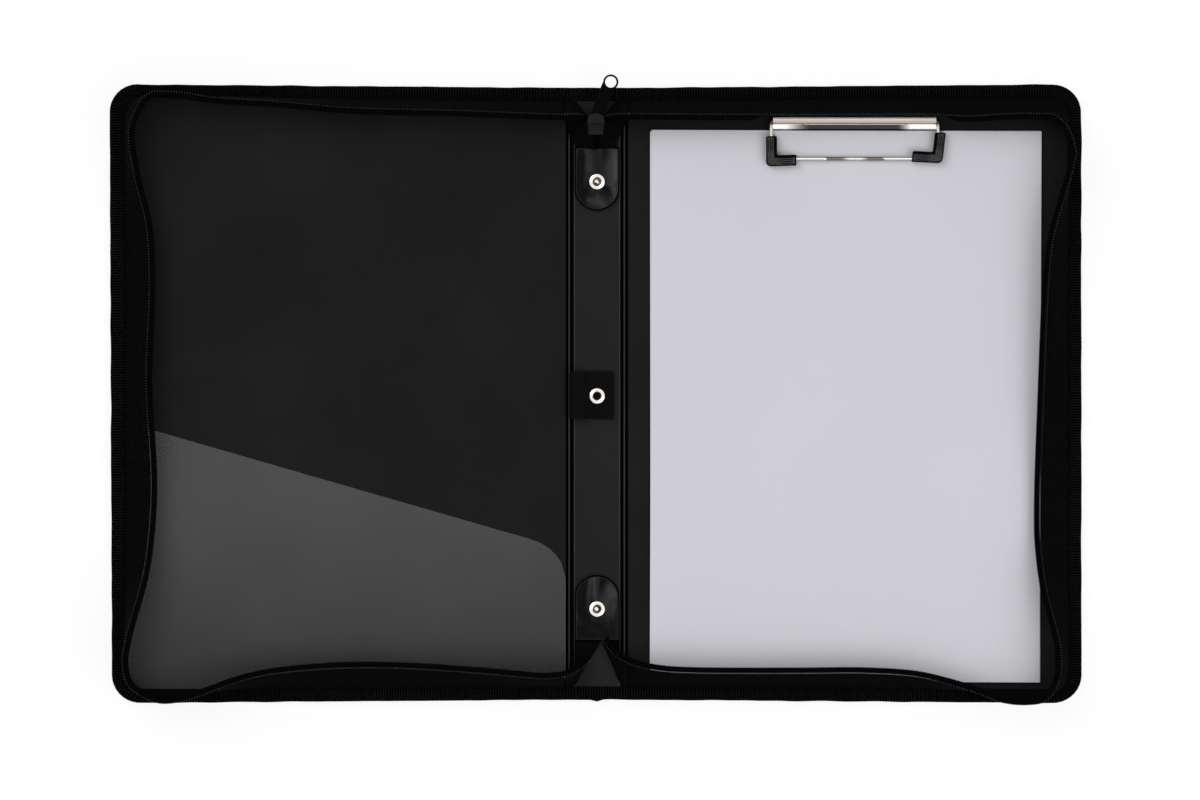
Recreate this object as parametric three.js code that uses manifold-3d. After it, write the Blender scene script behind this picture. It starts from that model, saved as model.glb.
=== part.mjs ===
// A zip-round A4 conference folder, lying open flat, in millimetres with +Z up.
// +X is to the right, +Y is toward the head, and z = 0 is the surface that the folder rests on.
// Right is the inside of the back cover, left is the inside of the front cover, and the spine is between.
import * as THREE from 'three';
import * as BufferGeometryUtils from 'three/addons/utils/BufferGeometryUtils.js';
import Module from 'manifold-3d';

const wasm = await Module();
wasm.setup();

// Paper that the folder is made for, and the margins round it on the back cover
const paperWidth = 210;
const paperHeight = 297;
const paperStack = 1.1;
const paperFromSpine = 12.1;
const paperFromSide = 22.2;
const paperFromHead = 23.2;
const paperFromFoot = 9.8;

// Outline of the open folder: the head and foot edges fan out a little toward the outer corners
const edgeFan = 1.8;
const cornerRadius = 15.3;

// Layers, from the outside of the folder to its inside
const bindingThickness = 0.6;
const skinThickness = 0.6;
const boardThickness = 1.6;
const liningThickness = 0.4;
const clearance = 0.3;
const cutMargin = 1;

// Spine and hinges
const spineHalfWidth = 12.1;
const grooveWidth = 4.8;
const webThickness = 0.7;
const ridgeHeight = 0.7;

// Edge binding
const bindingWidth = 7.2;
const bindingSetback = 0.65;

// Zip
const tapeFreeWidth = 16;
const tapeThickness = 0.8;
const tapeLowest = 3;
const coilRadius = 1.2;
const chainRadius = 1.5;
const chainSag = 0.2;

// Rivets through the spine
const rivetHeadRadius = 4.3;
const rivetCupRadius = 1.9;
const rivetShankRadius = 2.4;
const rivetHeadHeight = 1.1;
const rivetRimHeight = 0.5;
const rivetRimRound = 0.5;
const rivetCupLip = 0.25;
const rivetCupTaper = 0.4;
const rivetCapHeight = 0.55;
const rivetCapDome = 1.3;
const rivetFromHead = 50.7;
const rivetFromFoot = 49;
const middleRivetY = -1.2;

// End tabs over the zip ends
const tabWidth = 23;
const tabLength = 33.5;
const tabThickness = 2.2;
const tabOverRivet = 17.2;

// Elastic pen loop
const webbingWidth = 25.6;
const webbingThickness = 0.8;
const webbingOffCentre = 0.4;
const loopInnerRadius = 3;
const loopFromSpineEdge = 0.05;
const loopFootAngle = THREE.MathUtils.degToRad(270);
const loopMeetAngle = THREE.MathUtils.degToRad(15);
const webbingTail = 8.9;

// Clear pocket on the front cover
const pocketThickness = 0.2;
const pocketGap = 0.2;
const pocketHighSide = 142;
const pocketLowSide = 73.7;
const pocketTurnAcross = 20.8;
const pocketTurnDown = 15.6;

// Clip
const clipLength = 87.9;
const clipCentreX = 138.8;
const clipFromHead = 15.4;
const clipPlate = 0.8;
const clipPlateDepth = 7.2;
const tubeRadius = 1.7;
const tubeBoreRadius = 1.1;
const tubeFromPlateEdge = 2.6;
const tubeAbovePlate = 0.2;
const tubeSeam = 0.5;
const clipRivetRadius = 1.2;
const clipRivetInset = 16;
const stripDepth = 3.2;
const stripThickness = 0.5;
const stripHollow = 0.3;
const wireRadius = 0.7;
const bailReach = 20.9;
const bailBend = 3;
const bailStub = 4;
const bailHookGap = 0.1;
const gripWidth = 5.4;
const gripLeg = 15;
const gripFoot = 16;
const gripWall = 1.1;
const gripBevel = 1;

// Slider and puller
const sliderLength = 11.4;
const sliderWide = 9.1;
const sliderPlate = 0.9;
const sliderThroat = 1.6;
const sliderHeight = 7.2;
const sliderX = -0.6;
const sliderFromSeam = 12.6;
const wedgeTip = 1.4;
const wedgeHalfWidth = 1.55;
const wedgeSetback = 0.4;
const plateOverlap = 0.1;
const bridgeWidth = 1.8;
const bridgeOpening = 1.8;
const bridgeBar = 0.9;
const bridgeFootY = -3.4;
const bridgeLeg = 1.4;
const bridgeSlope = 0.8;
const bridgeSetback = 0.3;
const bridgeRoot = 0.3;
const bridgeBevel = 0.4;
const pullerLength = 21.1;
const pullerWidth = 7.4;
const pullerWaist = 6.4;
const pullerThickness = 1;
const pullerWaistEnd = 8.4;
const pullerSwell = 12.7;
const pullerFromBridge = 1.1;
const eyeOpening = 0.4;
const eyeRadius = 3.95;
const eyeHoleRadius = 2.98;
const pullerYaw = THREE.MathUtils.degToRad(-22.7);
const pullerSlot = 3.6;
const pullerSlotLength = 3.2;

// Heights and places that follow from the sizes above
const skinBottom = bindingThickness;
const boardBottom = skinBottom + skinThickness;
const liningBottom = boardBottom + boardThickness;
const liningTop = liningBottom + liningThickness;
const bindingTop = liningTop + bindingThickness;
const coverStart = spineHalfWidth + grooveWidth;
const halfWidth = coverStart + paperFromSpine + paperWidth + paperFromSide;
const halfHeightAtSpine = (paperFromHead + paperHeight + paperFromFoot) / 2;
const halfHeightAtCorner = halfHeightAtSpine + edgeFan;
const seamY = halfHeightAtSpine - bindingWidth;
const cornerX = halfWidth - cornerRadius;
const cornerY = halfHeightAtCorner - cornerRadius;
const innerCornerRadius = cornerRadius - bindingWidth;
const tapeStart = coverStart + bindingSetback;
const tapeFoot = bindingTop + clearance;

// How far the coil leans in from the sewn edge: [share of the stretch, lean].
// Head and foot count from the spine outward, the side counts from head to foot.
const frontLeans = {
  head: [[0, 7.6], [0.1, 7], [0.25, 5.9], [0.5, 4.9], [0.68, 1.8], [0.83, -0.2], [0.92, -2.9], [0.98, -2]],
  headCorner: 5.3,
  side: [[0.03, 2.3], [0.11, 5], [0.2, 11.4], [0.3, 13.1], [0.48, 11.4], [0.65, 14],
    [0.74, 13], [0.82, 9.8], [0.93, 1], [0.98, -1.2]],
  footCorner: -0.1,
  foot: [[0, 5.4], [0.2, 7.8], [0.39, 10.8], [0.55, 10.9], [0.7, 7.8], [0.78, 3.4],
    [0.84, -1.6], [0.9, -6], [0.96, -6.6]],
};
const backLeans = {
  head: [[0, 7.1], [0.2, 7.9], [0.45, 8.3], [0.7, 8.7], [0.8, 9.8], [0.9, 8.7], [0.975, 8.9]],
  headCorner: 9.5,
  side: [[0.025, 1.3], [0.07, -3.5], [0.1, -2], [0.155, 2.8], [0.22, 8.2], [0.3, 11], [0.5, 13.6],
    [0.7, 15.4], [0.77, 15], [0.85, 12], [0.95, 4.8]],
  footCorner: 4.2,
  foot: [[0, 12.4], [0.038, 10], [0.15, 7.8], [0.4, 8], [0.55, 8.4], [0.67, 6.9], [0.74, 3.6], [0.82, -1.8],
    [0.88, -6.8], [0.94, -7.8], [0.98, -5.6]],
};

// The slider's outline, from its foot to its round top: [share of the length, share of the half width]
const sliderOutline = [[0, 0.76], [0.03, 0.8], [0.3, 0.88], [0.48, 0.97], [0.6, 1], [0.75, 0.97], [0.86, 0.83],
  [0.94, 0.58], [0.985, 0.3], [1, 0.04]];

// Where the zip ends run, between the cover and the end tab: [across, from the seam, height].
// Head places count across from the spine's middle or, for the coil, from the slider.
const headEndFoot = [[16.2, 4.8, 4.1], [16, 11.8, 4.1], [14.6, 18.8, 4.3]];
const headEndCoil = [[9.6, 6.2, 12.5], [6.4, 11.8, 9], [5.4, 17.3, 8]];
const headEndFootAtTab = 10.6;
const headEndCoilAtTab = [3.2, 5];
const footLeftFoot = [[-13.8, 0.4, 4.1], [-12, 1.2, 4.1], [-8.3, 7.6, 4.1], [-4.8, 13.2, 4.3]];
const footLeftCoil = [[-13.9, 6.6, 16.2], [-11.4, 8.2, 13.8], [-7.9, 10.2, 10], [-3.9, 13.8, 5.4]];
const footRightFoot = [[13.9, 0.8, 4.1], [12.5, 2.4, 4.1], [7.7, 13.6, 4.1], [2.4, 24, 4.3]];
const footRightCoil = [[13.8, 14.2, 11.4], [10.9, 15.8, 9.8], [6.3, 20.4, 7.4], [4, 24, 5.4]];

// Materials
const finish = (color, roughness, metalness = 0) =>
  new THREE.MeshStandardMaterial({ color, roughness, metalness });
const leathercloth = () => finish(0x1a1a1b, 0.55);
const greyboard = () => finish(0x7b776f, 0.9);
const lining = () => finish(0x212122, 0.6);
const grosgrain = () => finish(0x0c0c0d, 0.85);
const nickel = () => finish(0xc9c8c4, 0.22, 1);
const blackPlastic = () => finish(0x0e0e0f, 0.4);

const folder = new THREE.Group();

function addPart(name, geometry, material, parent = folder) {
  const mesh = new THREE.Mesh(geometry, material);
  mesh.name = name;
  parent.add(mesh);
  return mesh;
}

// A flat sheet of an outline, from one height to another
function slab(shape, bottom, thickness, segments = 8) {
  const geometry = new THREE.ExtrudeGeometry(shape, {
    depth: thickness, bevelEnabled: false, curveSegments: segments,
  });
  return geometry.translate(0, 0, bottom);
}

function rectangle(left, right, foot, head) {
  const shape = new THREE.Shape();
  shape.moveTo(left, foot);
  shape.lineTo(right, foot);
  shape.lineTo(right, head);
  shape.lineTo(left, head);
  shape.closePath();
  return shape;
}

function roundHole(x, y, radius) {
  return new THREE.Path().absarc(x, y, radius, 0, Math.PI * 2, true);
}

// A closed solid through rings of equal count, capped at both ends
function loft(rings) {
  const count = rings[0].length;
  const positions = rings.flat().flatMap((point) => [point.x, point.y, point.z]);
  const triangles = [];
  for (let ring = 0; ring < rings.length - 1; ring += 1) {
    for (let k = 0; k < count; k += 1) {
      const a = ring * count + k;
      const b = ring * count + ((k + 1) % count);
      triangles.push(a, b, b + count, a, b + count, a + count);
    }
  }
  const last = (rings.length - 1) * count;
  for (const [a, b, c] of capTriangles(rings[0])) triangles.push(c, b, a);
  for (const [a, b, c] of capTriangles(rings[rings.length - 1])) triangles.push(last + a, last + b, last + c);
  const geometry = new THREE.BufferGeometry();
  geometry.setAttribute('position', new THREE.Float32BufferAttribute(positions, 3));
  geometry.setIndex(triangles);
  return facingOut(geometry);
}

// Triangles of a flat ring, in the ring's own order
function capTriangles(ring) {
  const centre = ring.reduce((sum, point) => sum.add(point), new THREE.Vector3()).divideScalar(ring.length);
  const normal = new THREE.Vector3();
  ring.forEach((point, k) => {
    const next = ring[(k + 1) % ring.length];
    normal.add(point.clone().sub(centre).cross(next.clone().sub(centre)));
  });
  normal.normalize();
  const across = ring[0].clone().sub(centre).projectOnPlane(normal).normalize();
  const along = normal.clone().cross(across);
  const flat = ring.map((point) => {
    const offset = point.clone().sub(centre);
    return new THREE.Vector2(offset.dot(across), offset.dot(along));
  });
  return THREE.ShapeUtils.triangulateShape(flat, []);
}

function facingOut(geometry) {
  const index = geometry.getIndex();
  const position = geometry.getAttribute('position');
  const corner = (k) => new THREE.Vector3().fromBufferAttribute(position, index.getX(k));
  let volume = 0;
  for (let k = 0; k < index.count; k += 3) {
    volume += corner(k).dot(corner(k + 1).cross(corner(k + 2)));
  }
  if (volume < 0) {
    for (let k = 0; k < index.count; k += 3) {
      const first = index.getX(k);
      index.setX(k, index.getX(k + 2));
      index.setX(k + 2, first);
    }
  }
  return geometry;
}

// Solids for cutting and joining
function solid(geometry) {
  const bare = geometry.clone();
  bare.deleteAttribute('normal');
  bare.deleteAttribute('uv');
  const merged = BufferGeometryUtils.mergeVertices(bare, 1e-4);
  return new wasm.Manifold(new wasm.Mesh({
    numProp: 3,
    vertProperties: Float32Array.from(merged.getAttribute('position').array),
    triVerts: Uint32Array.from(merged.getIndex().array),
  }));
}

function fromSolid(body) {
  const mesh = body.getMesh();
  const geometry = new THREE.BufferGeometry();
  geometry.setAttribute('position', new THREE.Float32BufferAttribute(mesh.vertProperties, 3));
  geometry.setIndex(Array.from(mesh.triVerts));
  return geometry;
}

// Half height of the open folder at a distance from the spine: the head and foot edges fan out a little
function halfHeightAt(x) {
  const share = (x - coverStart) / (cornerX - coverStart);
  return halfHeightAtSpine + (halfHeightAtCorner - halfHeightAtSpine) * share;
}

// A cover's outline, set in from the folder's edge
function coverOutline(side, inset, hingeX = coverStart) {
  const radius = cornerRadius - inset;
  const shape = new THREE.Shape();
  shape.moveTo(side * hingeX, -(halfHeightAt(hingeX) - inset));
  shape.lineTo(side * cornerX, -(halfHeightAtCorner - inset));
  if (side > 0) {
    shape.absarc(cornerX, -cornerY, radius, -Math.PI / 2, 0, false);
    shape.absarc(cornerX, cornerY, radius, 0, Math.PI / 2, false);
  } else {
    shape.absarc(-cornerX, -cornerY, radius, -Math.PI / 2, -Math.PI, true);
    shape.absarc(-cornerX, cornerY, radius, Math.PI, Math.PI / 2, true);
  }
  shape.lineTo(side * hingeX, halfHeightAt(hingeX) - inset);
  shape.closePath();
  return shape;
}

// A place on the sewn line round a cover, with the direction out of the cover
function sewnPlace(side, stretch, share) {
  const sign = stretch.startsWith('foot') ? -1 : 1;
  if (stretch === 'side') {
    const y = cornerY * (1 - 2 * share);
    return { x: side * (halfWidth - bindingWidth), y, outX: side, outY: 0 };
  }
  if (stretch.endsWith('Corner')) {
    const angle = (Math.PI / 2) * share;
    const outX = side * Math.sin(angle);
    const outY = sign * Math.cos(angle);
    return {
      x: side * cornerX + innerCornerRadius * outX,
      y: sign * cornerY + innerCornerRadius * outY,
      outX,
      outY,
    };
  }
  const x = tapeStart + (cornerX - tapeStart) * share;
  return { x: side * x, y: sign * (halfHeightAt(x) - bindingWidth), outX: 0, outY: sign };
}

// The sewn line from the spine at the head, round the cover, to the spine at the foot
function sewnLine(side, straightSteps, cornerSteps) {
  const places = [];
  const walk = (stretch, steps, backward) => {
    for (let k = 0; k <= steps; k += 1) {
      const share = k / steps;
      places.push(sewnPlace(side, stretch, backward ? 1 - share : share));
    }
  };
  walk('head', straightSteps, false);
  walk('headCorner', cornerSteps, false);
  walk('side', straightSteps, false);
  walk('footCorner', cornerSteps, true);
  walk('foot', straightSteps, true);
  return places.filter((place, k) => k === 0
    || Math.hypot(place.x - places[k - 1].x, place.y - places[k - 1].y) > 0.01);
}

// The binding is a channel folded over the edge
function bindingGeometry(places) {
  const wall = bindingWidth - bindingThickness;
  const profile = [
    [0, 0], [bindingWidth, 0], [bindingWidth, bindingTop], [0, bindingTop],
    [0, liningTop], [wall, liningTop], [wall, skinBottom], [0, skinBottom],
  ];
  return loft(places.map((place) => profile.map(([out, z]) =>
    new THREE.Vector3(place.x + place.outX * out, place.y + place.outY * out, z))));
}

// Stations of a zip tape: its sewn foot and the coil's centre above it
function zipStations(side, leans) {
  const stations = [];
  const put = (stretch, share, lean) => {
    const foot = sewnPlace(side, stretch, share);
    const height = Math.sqrt(Math.max(tapeFreeWidth ** 2 - lean ** 2, tapeLowest ** 2));
    stations.push({
      foot: new THREE.Vector3(foot.x, foot.y, tapeFoot),
      coil: new THREE.Vector3(foot.x - foot.outX * lean, foot.y - foot.outY * lean, tapeFoot + height),
    });
  };
  leans.head.forEach(([share, lean]) => put('head', share, lean));
  put('headCorner', 0.5, leans.headCorner);
  leans.side.forEach(([share, lean]) => put('side', share, lean));
  put('footCorner', 0.5, leans.footCorner);
  [...leans.foot].reverse().forEach(([share, lean]) => put('foot', share, lean));
  return stations;
}

// A strip of tape between two edges, as a thin closed solid
function tapeGeometry(footCurve, coilCurve, steps, gapAtCoil) {
  const rings = [];
  for (let k = 0; k <= steps; k += 1) {
    const share = k / steps;
    const low = footCurve.getPoint(share);
    const top = coilCurve.getPoint(share);
    const across = top.clone().sub(low);
    const high = top.clone().addScaledVector(across.clone().normalize(), -gapAtCoil);
    const along = footCurve.getTangent(share).add(coilCurve.getTangent(share)).normalize();
    const through = across.cross(along).normalize().multiplyScalar(tapeThickness / 2);
    rings.push([
      low.clone().add(through), high.clone().add(through),
      high.clone().sub(through), low.clone().sub(through),
    ]);
  }
  return loft(rings);
}

// A round rod or bead along a path
function rodGeometry(points, radius, sides, turn = 0) {
  const rings = points.map((point, k) => {
    const before = points[Math.max(k - 1, 0)];
    const after = points[Math.min(k + 1, points.length - 1)];
    const along = after.clone().sub(before).normalize();
    const level = new THREE.Vector3(0, 0, 1).cross(along).normalize();
    const up = along.clone().cross(level);
    return Array.from({ length: sides }, (unused, side) => {
      const angle = turn + (Math.PI * 2 * side) / sides;
      return point.clone()
        .addScaledVector(level, Math.cos(angle) * radius)
        .addScaledVector(up, Math.sin(angle) * radius);
    });
  });
  return loft(rings);
}

// The layers of one cover, its binding and its zip half
function addCover(name, side, leans) {
  const edgeInset = bindingThickness + clearance;
  const boardInset = edgeInset + clearance;
  addPart(`${name}_skin`, skinGeometry(side, edgeInset), leathercloth());
  addPart(`${name}_board`, slab(coverOutline(side, boardInset), boardBottom, boardThickness), greyboard());
  addPart(`${name}_lining`, liningGeometry(side, edgeInset), lining());
  const places = sewnLine(side, 1, 6);
  addPart(`${name}_binding`, bindingGeometry(places), grosgrain());
  const stations = zipStations(side, leans);
  const footCurve = new THREE.CatmullRomCurve3(stations.map((station) => station.foot));
  const coilCurve = new THREE.CatmullRomCurve3(stations.map((station) => station.coil));
  const steps = (stations.length - 1) * 4;
  const tape = tapeGeometry(footCurve, coilCurve, steps, coilRadius + clearance);
  addPart(`${name}_zip_tape`, tape, grosgrain());
  const coil = rodGeometry(coilCurve.getPoints(steps), coilRadius, 6);
  addPart(`${name}_zip_coil`, coil, blackPlastic());
}

// The skin lies on the table inside the binding, and its rim steps up into the binding's channel
function skinGeometry(side, inset) {
  const rim = solid(slab(coverOutline(side, inset), skinBottom, skinThickness));
  const field = solid(slab(coverOutline(side, bindingWidth + clearance), 0, boardBottom));
  return fromSolid(rim.add(field));
}

// The back cover's lining has two holes for the clip's rivets
function liningGeometry(side, inset) {
  const outline = coverOutline(side, inset);
  if (side > 0) clipRivetPlaces().forEach(([x, y]) => outline.holes.push(roundHole(x, y, clipRivetRadius + clearance)));
  return slab(outline, liningBottom, liningThickness);
}

function clipRivetPlaces() {
  const y = clipHeadEdge() - clipPlateDepth + clipRivetRadius + 2 * clearance;
  const reach = clipLength / 2 - clipRivetInset;
  return [-1, 1].map((end) => [clipCentreX + end * reach, y]);
}

function clipHeadEdge() {
  return halfHeightAtSpine - clipFromHead;
}

addCover('back_cover', 1, backLeans);
addCover('front_cover', -1, frontLeans);

// Hinge webs: skin and lining welded together, with a raised ridge between two pressed lines
function addHingeWeb(name, side) {
  const inner = spineHalfWidth + clearance;
  const outer = coverStart - clearance;
  const middle = (inner + outer) / 2;
  const quarter = (outer - inner) / 4;
  const top = skinBottom + webThickness;
  const reach = halfHeightAtSpine - bindingThickness - clearance;
  const profile = [
    [inner, skinBottom], [outer, skinBottom], [outer, top],
    [middle + quarter, top], [middle, top + ridgeHeight], [middle - quarter, top], [inner, top],
  ];
  const ring = (y) => profile.map(([x, z]) => new THREE.Vector3(side * x, y, z));
  addPart(name, loft([ring(-reach), ring(reach)]), leathercloth());
}
addHingeWeb('back_hinge_web', 1);
addHingeWeb('front_hinge_web', -1);

// Spine layers, each pierced by the three rivets
const rivetPlaces = {
  head: halfHeightAtSpine - rivetFromHead,
  middle: middleRivetY,
  foot: rivetFromFoot - halfHeightAtSpine,
};

function spineSheet(halfX, halfY) {
  const shape = rectangle(-halfX, halfX, -halfY, halfY);
  Object.values(rivetPlaces).forEach((y) => shape.holes.push(roundHole(0, y, rivetShankRadius + clearance)));
  return shape;
}
const spineReach = halfHeightAtSpine - bindingThickness - clearance;
addPart('spine_skin', slab(spineSheet(spineHalfWidth, spineReach), skinBottom, skinThickness), leathercloth());
addPart('spine_board', slab(spineSheet(spineHalfWidth - clearance, spineReach - clearance), boardBottom,
  boardThickness), greyboard());
addPart('spine_lining', slab(spineSheet(spineHalfWidth, spineReach), liningBottom, liningThickness), lining());

// Binding over the head and the foot of the spine
for (const [end, sign] of [['head', 1], ['foot', -1]]) {
  const reach = spineHalfWidth - bindingSetback;
  const place = (x) => ({ x, y: sign * (halfHeightAtSpine - bindingWidth), outX: 0, outY: sign });
  addPart(`spine_binding_${end}`, bindingGeometry([place(-reach), place(reach)]), grosgrain());
}

// Rivets: a tubular stud with a flared cup inside, and a domed cap on the outside
function addRivet(name, y, seat) {
  const studFoot = rivetCapHeight + clearance;
  const top = seat + rivetHeadHeight;
  const cupFloorRadius = rivetCupRadius - rivetCupTaper;
  const stud = new THREE.LatheGeometry([
    [0, studFoot], [rivetShankRadius, studFoot], [rivetShankRadius, seat], [rivetHeadRadius, seat],
    [rivetHeadRadius, seat + rivetRimHeight], [rivetHeadRadius - rivetRimRound, top - rivetRimRound / 5],
    [rivetHeadRadius - 2 * rivetRimRound, top], [rivetCupRadius, top - rivetCupLip], [cupFloorRadius, seat],
    [cupFloorRadius, liningBottom], [0, liningBottom],
  ].map(([radius, z]) => new THREE.Vector2(radius, z)), 20);
  addPart(`rivet_stud_${name}`, stud.rotateX(Math.PI / 2).translate(0, y, 0), nickel());
  const cap = new THREE.LatheGeometry([
    [0, 0], [rivetHeadRadius - rivetCapDome, 0], [rivetHeadRadius, rivetCapHeight / 2],
    [rivetHeadRadius, rivetCapHeight], [0, rivetCapHeight],
  ].map(([radius, z]) => new THREE.Vector2(radius, z)), 20);
  addPart(`rivet_cap_${name}`, cap.rotateX(Math.PI / 2).translate(0, y, 0), nickel());
}
addRivet('head', rivetPlaces.head, liningTop + tabThickness);
addRivet('middle', rivetPlaces.middle, liningTop + 2 * webbingThickness);
addRivet('foot', rivetPlaces.foot, liningTop + tabThickness);

// End tabs: straight at the zip, round toward the middle of the spine
function addEndTab(name, sign, rivetY) {
  const straight = rivetY + sign * tabOverRivet;
  const roundStart = straight - sign * (tabLength - tabWidth / 2);
  const half = tabWidth / 2;
  const shape = new THREE.Shape();
  const arcStart = sign > 0 ? Math.PI : 0;
  shape.moveTo(-sign * half, straight);
  shape.lineTo(-sign * half, roundStart);
  shape.absarc(0, roundStart, half, arcStart, arcStart + Math.PI, false);
  shape.lineTo(sign * half, straight);
  shape.closePath();
  shape.holes.push(roundHole(0, rivetY, rivetShankRadius + clearance));
  addPart(name, slab(shape, liningTop, tabThickness, 12), leathercloth());
}
addEndTab('end_tab_head', 1, rivetPlaces.head);
addEndTab('end_tab_foot', -1, rivetPlaces.foot);

// Pen loop: webbing doubled back over itself and riveted through both layers
function addPenLoop() {
  const outer = loopInnerRadius + webbingThickness;
  const left = -spineHalfWidth + loopFromSpineEdge;
  const centreX = left + outer;
  const centreZ = liningTop + outer;
  const doubled = liningTop + 2 * webbingThickness;
  const meet = -rivetHeadRadius;
  const shape = new THREE.Shape();
  shape.moveTo(webbingTail, liningTop);
  shape.lineTo(webbingTail, doubled);
  shape.lineTo(meet, doubled);
  shape.absarc(centreX, centreZ, outer, loopMeetAngle, loopFootAngle, false);
  shape.closePath();
  const hollow = new THREE.Path();
  hollow.moveTo(meet, liningTop + webbingThickness);
  hollow.absarc(centreX, centreZ, loopInnerRadius, loopFootAngle, loopMeetAngle, true);
  hollow.closePath();
  shape.holes.push(hollow);
  const band = new THREE.ExtrudeGeometry(shape, { depth: webbingWidth, bevelEnabled: false, curveSegments: 20 });
  band.rotateX(Math.PI / 2).translate(0, rivetPlaces.middle + webbingWidth / 2 + webbingOffCentre, 0);
  const hole = slab(new THREE.Shape().absarc(0, rivetPlaces.middle, rivetShankRadius + clearance, 0, Math.PI * 2),
    liningTop - cutMargin, 2 * webbingThickness + 2 * cutMargin);
  addPart('pen_loop', fromSolid(solid(band).subtract(solid(hole))), finish(0x101010, 0.9));
}
addPenLoop();

// The zip's four tape ends run from the covers over the spine to the end tabs
function addTapeEnd(name, footPoints, coilPoints) {
  const curve = (points) => new THREE.CatmullRomCurve3(points.map((point) => new THREE.Vector3(...point)));
  addPart(name, tapeGeometry(curve(footPoints), curve(coilPoints), 16, 0), grosgrain());
}

function endStation(side, stretch, leans) {
  const foot = sewnPlace(side, stretch, 0);
  const lean = leans[stretch][0][1];
  const x = foot.x - side * clearance;
  return {
    foot: [x, foot.y, tapeFoot],
    coil: [x, foot.y - foot.outY * lean, tapeFoot + Math.sqrt(tapeFreeWidth ** 2 - lean ** 2) - coilRadius],
  };
}
const tabEdgeHead = rivetPlaces.head + tabOverRivet + clearance;
const tapeFlat = tapeFoot + 0.2;

// Places of a rail: across from the middle of the spine, and in from the seam at the head or the foot
const rail = (places, sign, across = (x) => x) => places.map(([x, fromSeam, z]) =>
  [across(x), sign * (seamY - fromSeam), z]);
for (const [name, side, leans] of [['left', -1, frontLeans], ['right', 1, backLeans]]) {
  const start = endStation(side, 'head', leans);
  const [coilX, coilZ] = headEndCoilAtTab;
  addTapeEnd(`tape_end_head_${name}`,
    [start.foot, ...rail(headEndFoot, 1, (x) => side * x), [side * headEndFootAtTab, tabEdgeHead, tapeFlat]],
    [start.coil, ...rail(headEndCoil, 1, (x) => sliderX + side * x), [sliderX + side * coilX, tabEdgeHead, coilZ]]);
}
const footLeft = endStation(-1, 'foot', frontLeans);
addTapeEnd('tape_end_foot_left', [footLeft.foot, ...rail(footLeftFoot, -1)],
  [footLeft.coil, ...rail(footLeftCoil, -1)]);
const footRight = endStation(1, 'foot', backLeans);
addTapeEnd('tape_end_foot_right', [footRight.foot, ...rail(footRightFoot, -1)],
  [footRight.coil, ...rail(footRightCoil, -1)]);

// The closed chain between the slider and the head tab
const sliderY = seamY - sliderFromSeam;
const sliderFoot = sliderY - sliderLength / 2;
const chainHeight = sliderHeight + sliderPlate + sliderThroat / 2;
const chainPath = [
  [sliderX, sliderFoot - clearance, chainHeight],
  [sliderX, sliderFoot - 2 * clearance, chainHeight],
  [sliderX, (sliderFoot + tabEdgeHead) / 2, sliderHeight - chainSag],
  [sliderX, tabEdgeHead + 2 * clearance, tapeFlat + chainRadius],
  [sliderX, tabEdgeHead + clearance, tapeFlat + chainRadius],
].map((point) => new THREE.Vector3(...point));
addPart('zip_chain_head', rodGeometry(chainPath, chainRadius, 8), blackPlastic());

// Slider: two plates round a wedge, with a bridge that holds the puller
function addSlider() {
  const half = new THREE.SplineCurve(sliderOutline.map(([along, across]) =>
    new THREE.Vector2((across * sliderWide) / 2, (along - 0.5) * sliderLength))).getPoints(24);
  const mirrored = half.map((point) => new THREE.Vector2(-point.x, point.y)).reverse();
  const shield = new THREE.Shape([...half, ...mirrored]);
  const throatBottom = sliderPlate;
  const topPlate = throatBottom + sliderThroat;
  const top = topPlate + sliderPlate;
  const lower = solid(slab(shield, 0, sliderPlate));
  const upper = solid(slab(shield, topPlate, sliderPlate));
  const wedge = new THREE.Shape();
  wedge.moveTo(0, -wedgeTip);
  wedge.lineTo(wedgeHalfWidth, sliderLength / 2 - wedgeSetback - bridgeBar);
  wedge.lineTo(-wedgeHalfWidth, sliderLength / 2 - wedgeSetback - bridgeBar);
  wedge.closePath();
  const core = solid(slab(wedge, throatBottom - plateOverlap, sliderThroat + 2 * plateOverlap));
  const arch = new THREE.Shape();
  const archHead = sliderLength / 2 - bridgeSetback;
  const archRoot = top - bridgeRoot;
  const archTop = top + bridgeOpening + bridgeBar;
  arch.moveTo(bridgeFootY, archRoot);
  arch.lineTo(bridgeFootY + bridgeLeg, archRoot);
  arch.lineTo(bridgeFootY + bridgeLeg + bridgeSlope, top + bridgeOpening);
  arch.lineTo(archHead - bridgeBar, top + bridgeOpening);
  arch.lineTo(archHead - bridgeBar, archRoot);
  arch.lineTo(archHead, archRoot);
  arch.lineTo(archHead, archTop - bridgeBevel);
  arch.lineTo(archHead - bridgeBevel, archTop);
  arch.lineTo(bridgeFootY + bridgeLeg + bridgeBevel, archTop);
  arch.closePath();
  const bridge = new THREE.ExtrudeGeometry(arch, { depth: bridgeWidth, bevelEnabled: false });
  bridge.translate(0, 0, -bridgeWidth / 2).rotateY(Math.PI / 2).rotateX(Math.PI / 2);
  const body = lower.add(core).add(upper).add(solid(bridge));
  const geometry = fromSolid(body).translate(sliderX, sliderY, sliderHeight);
  addPart('zip_slider', geometry, finish(0x353536, 0.35, 0.6));
}
addSlider();

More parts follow.
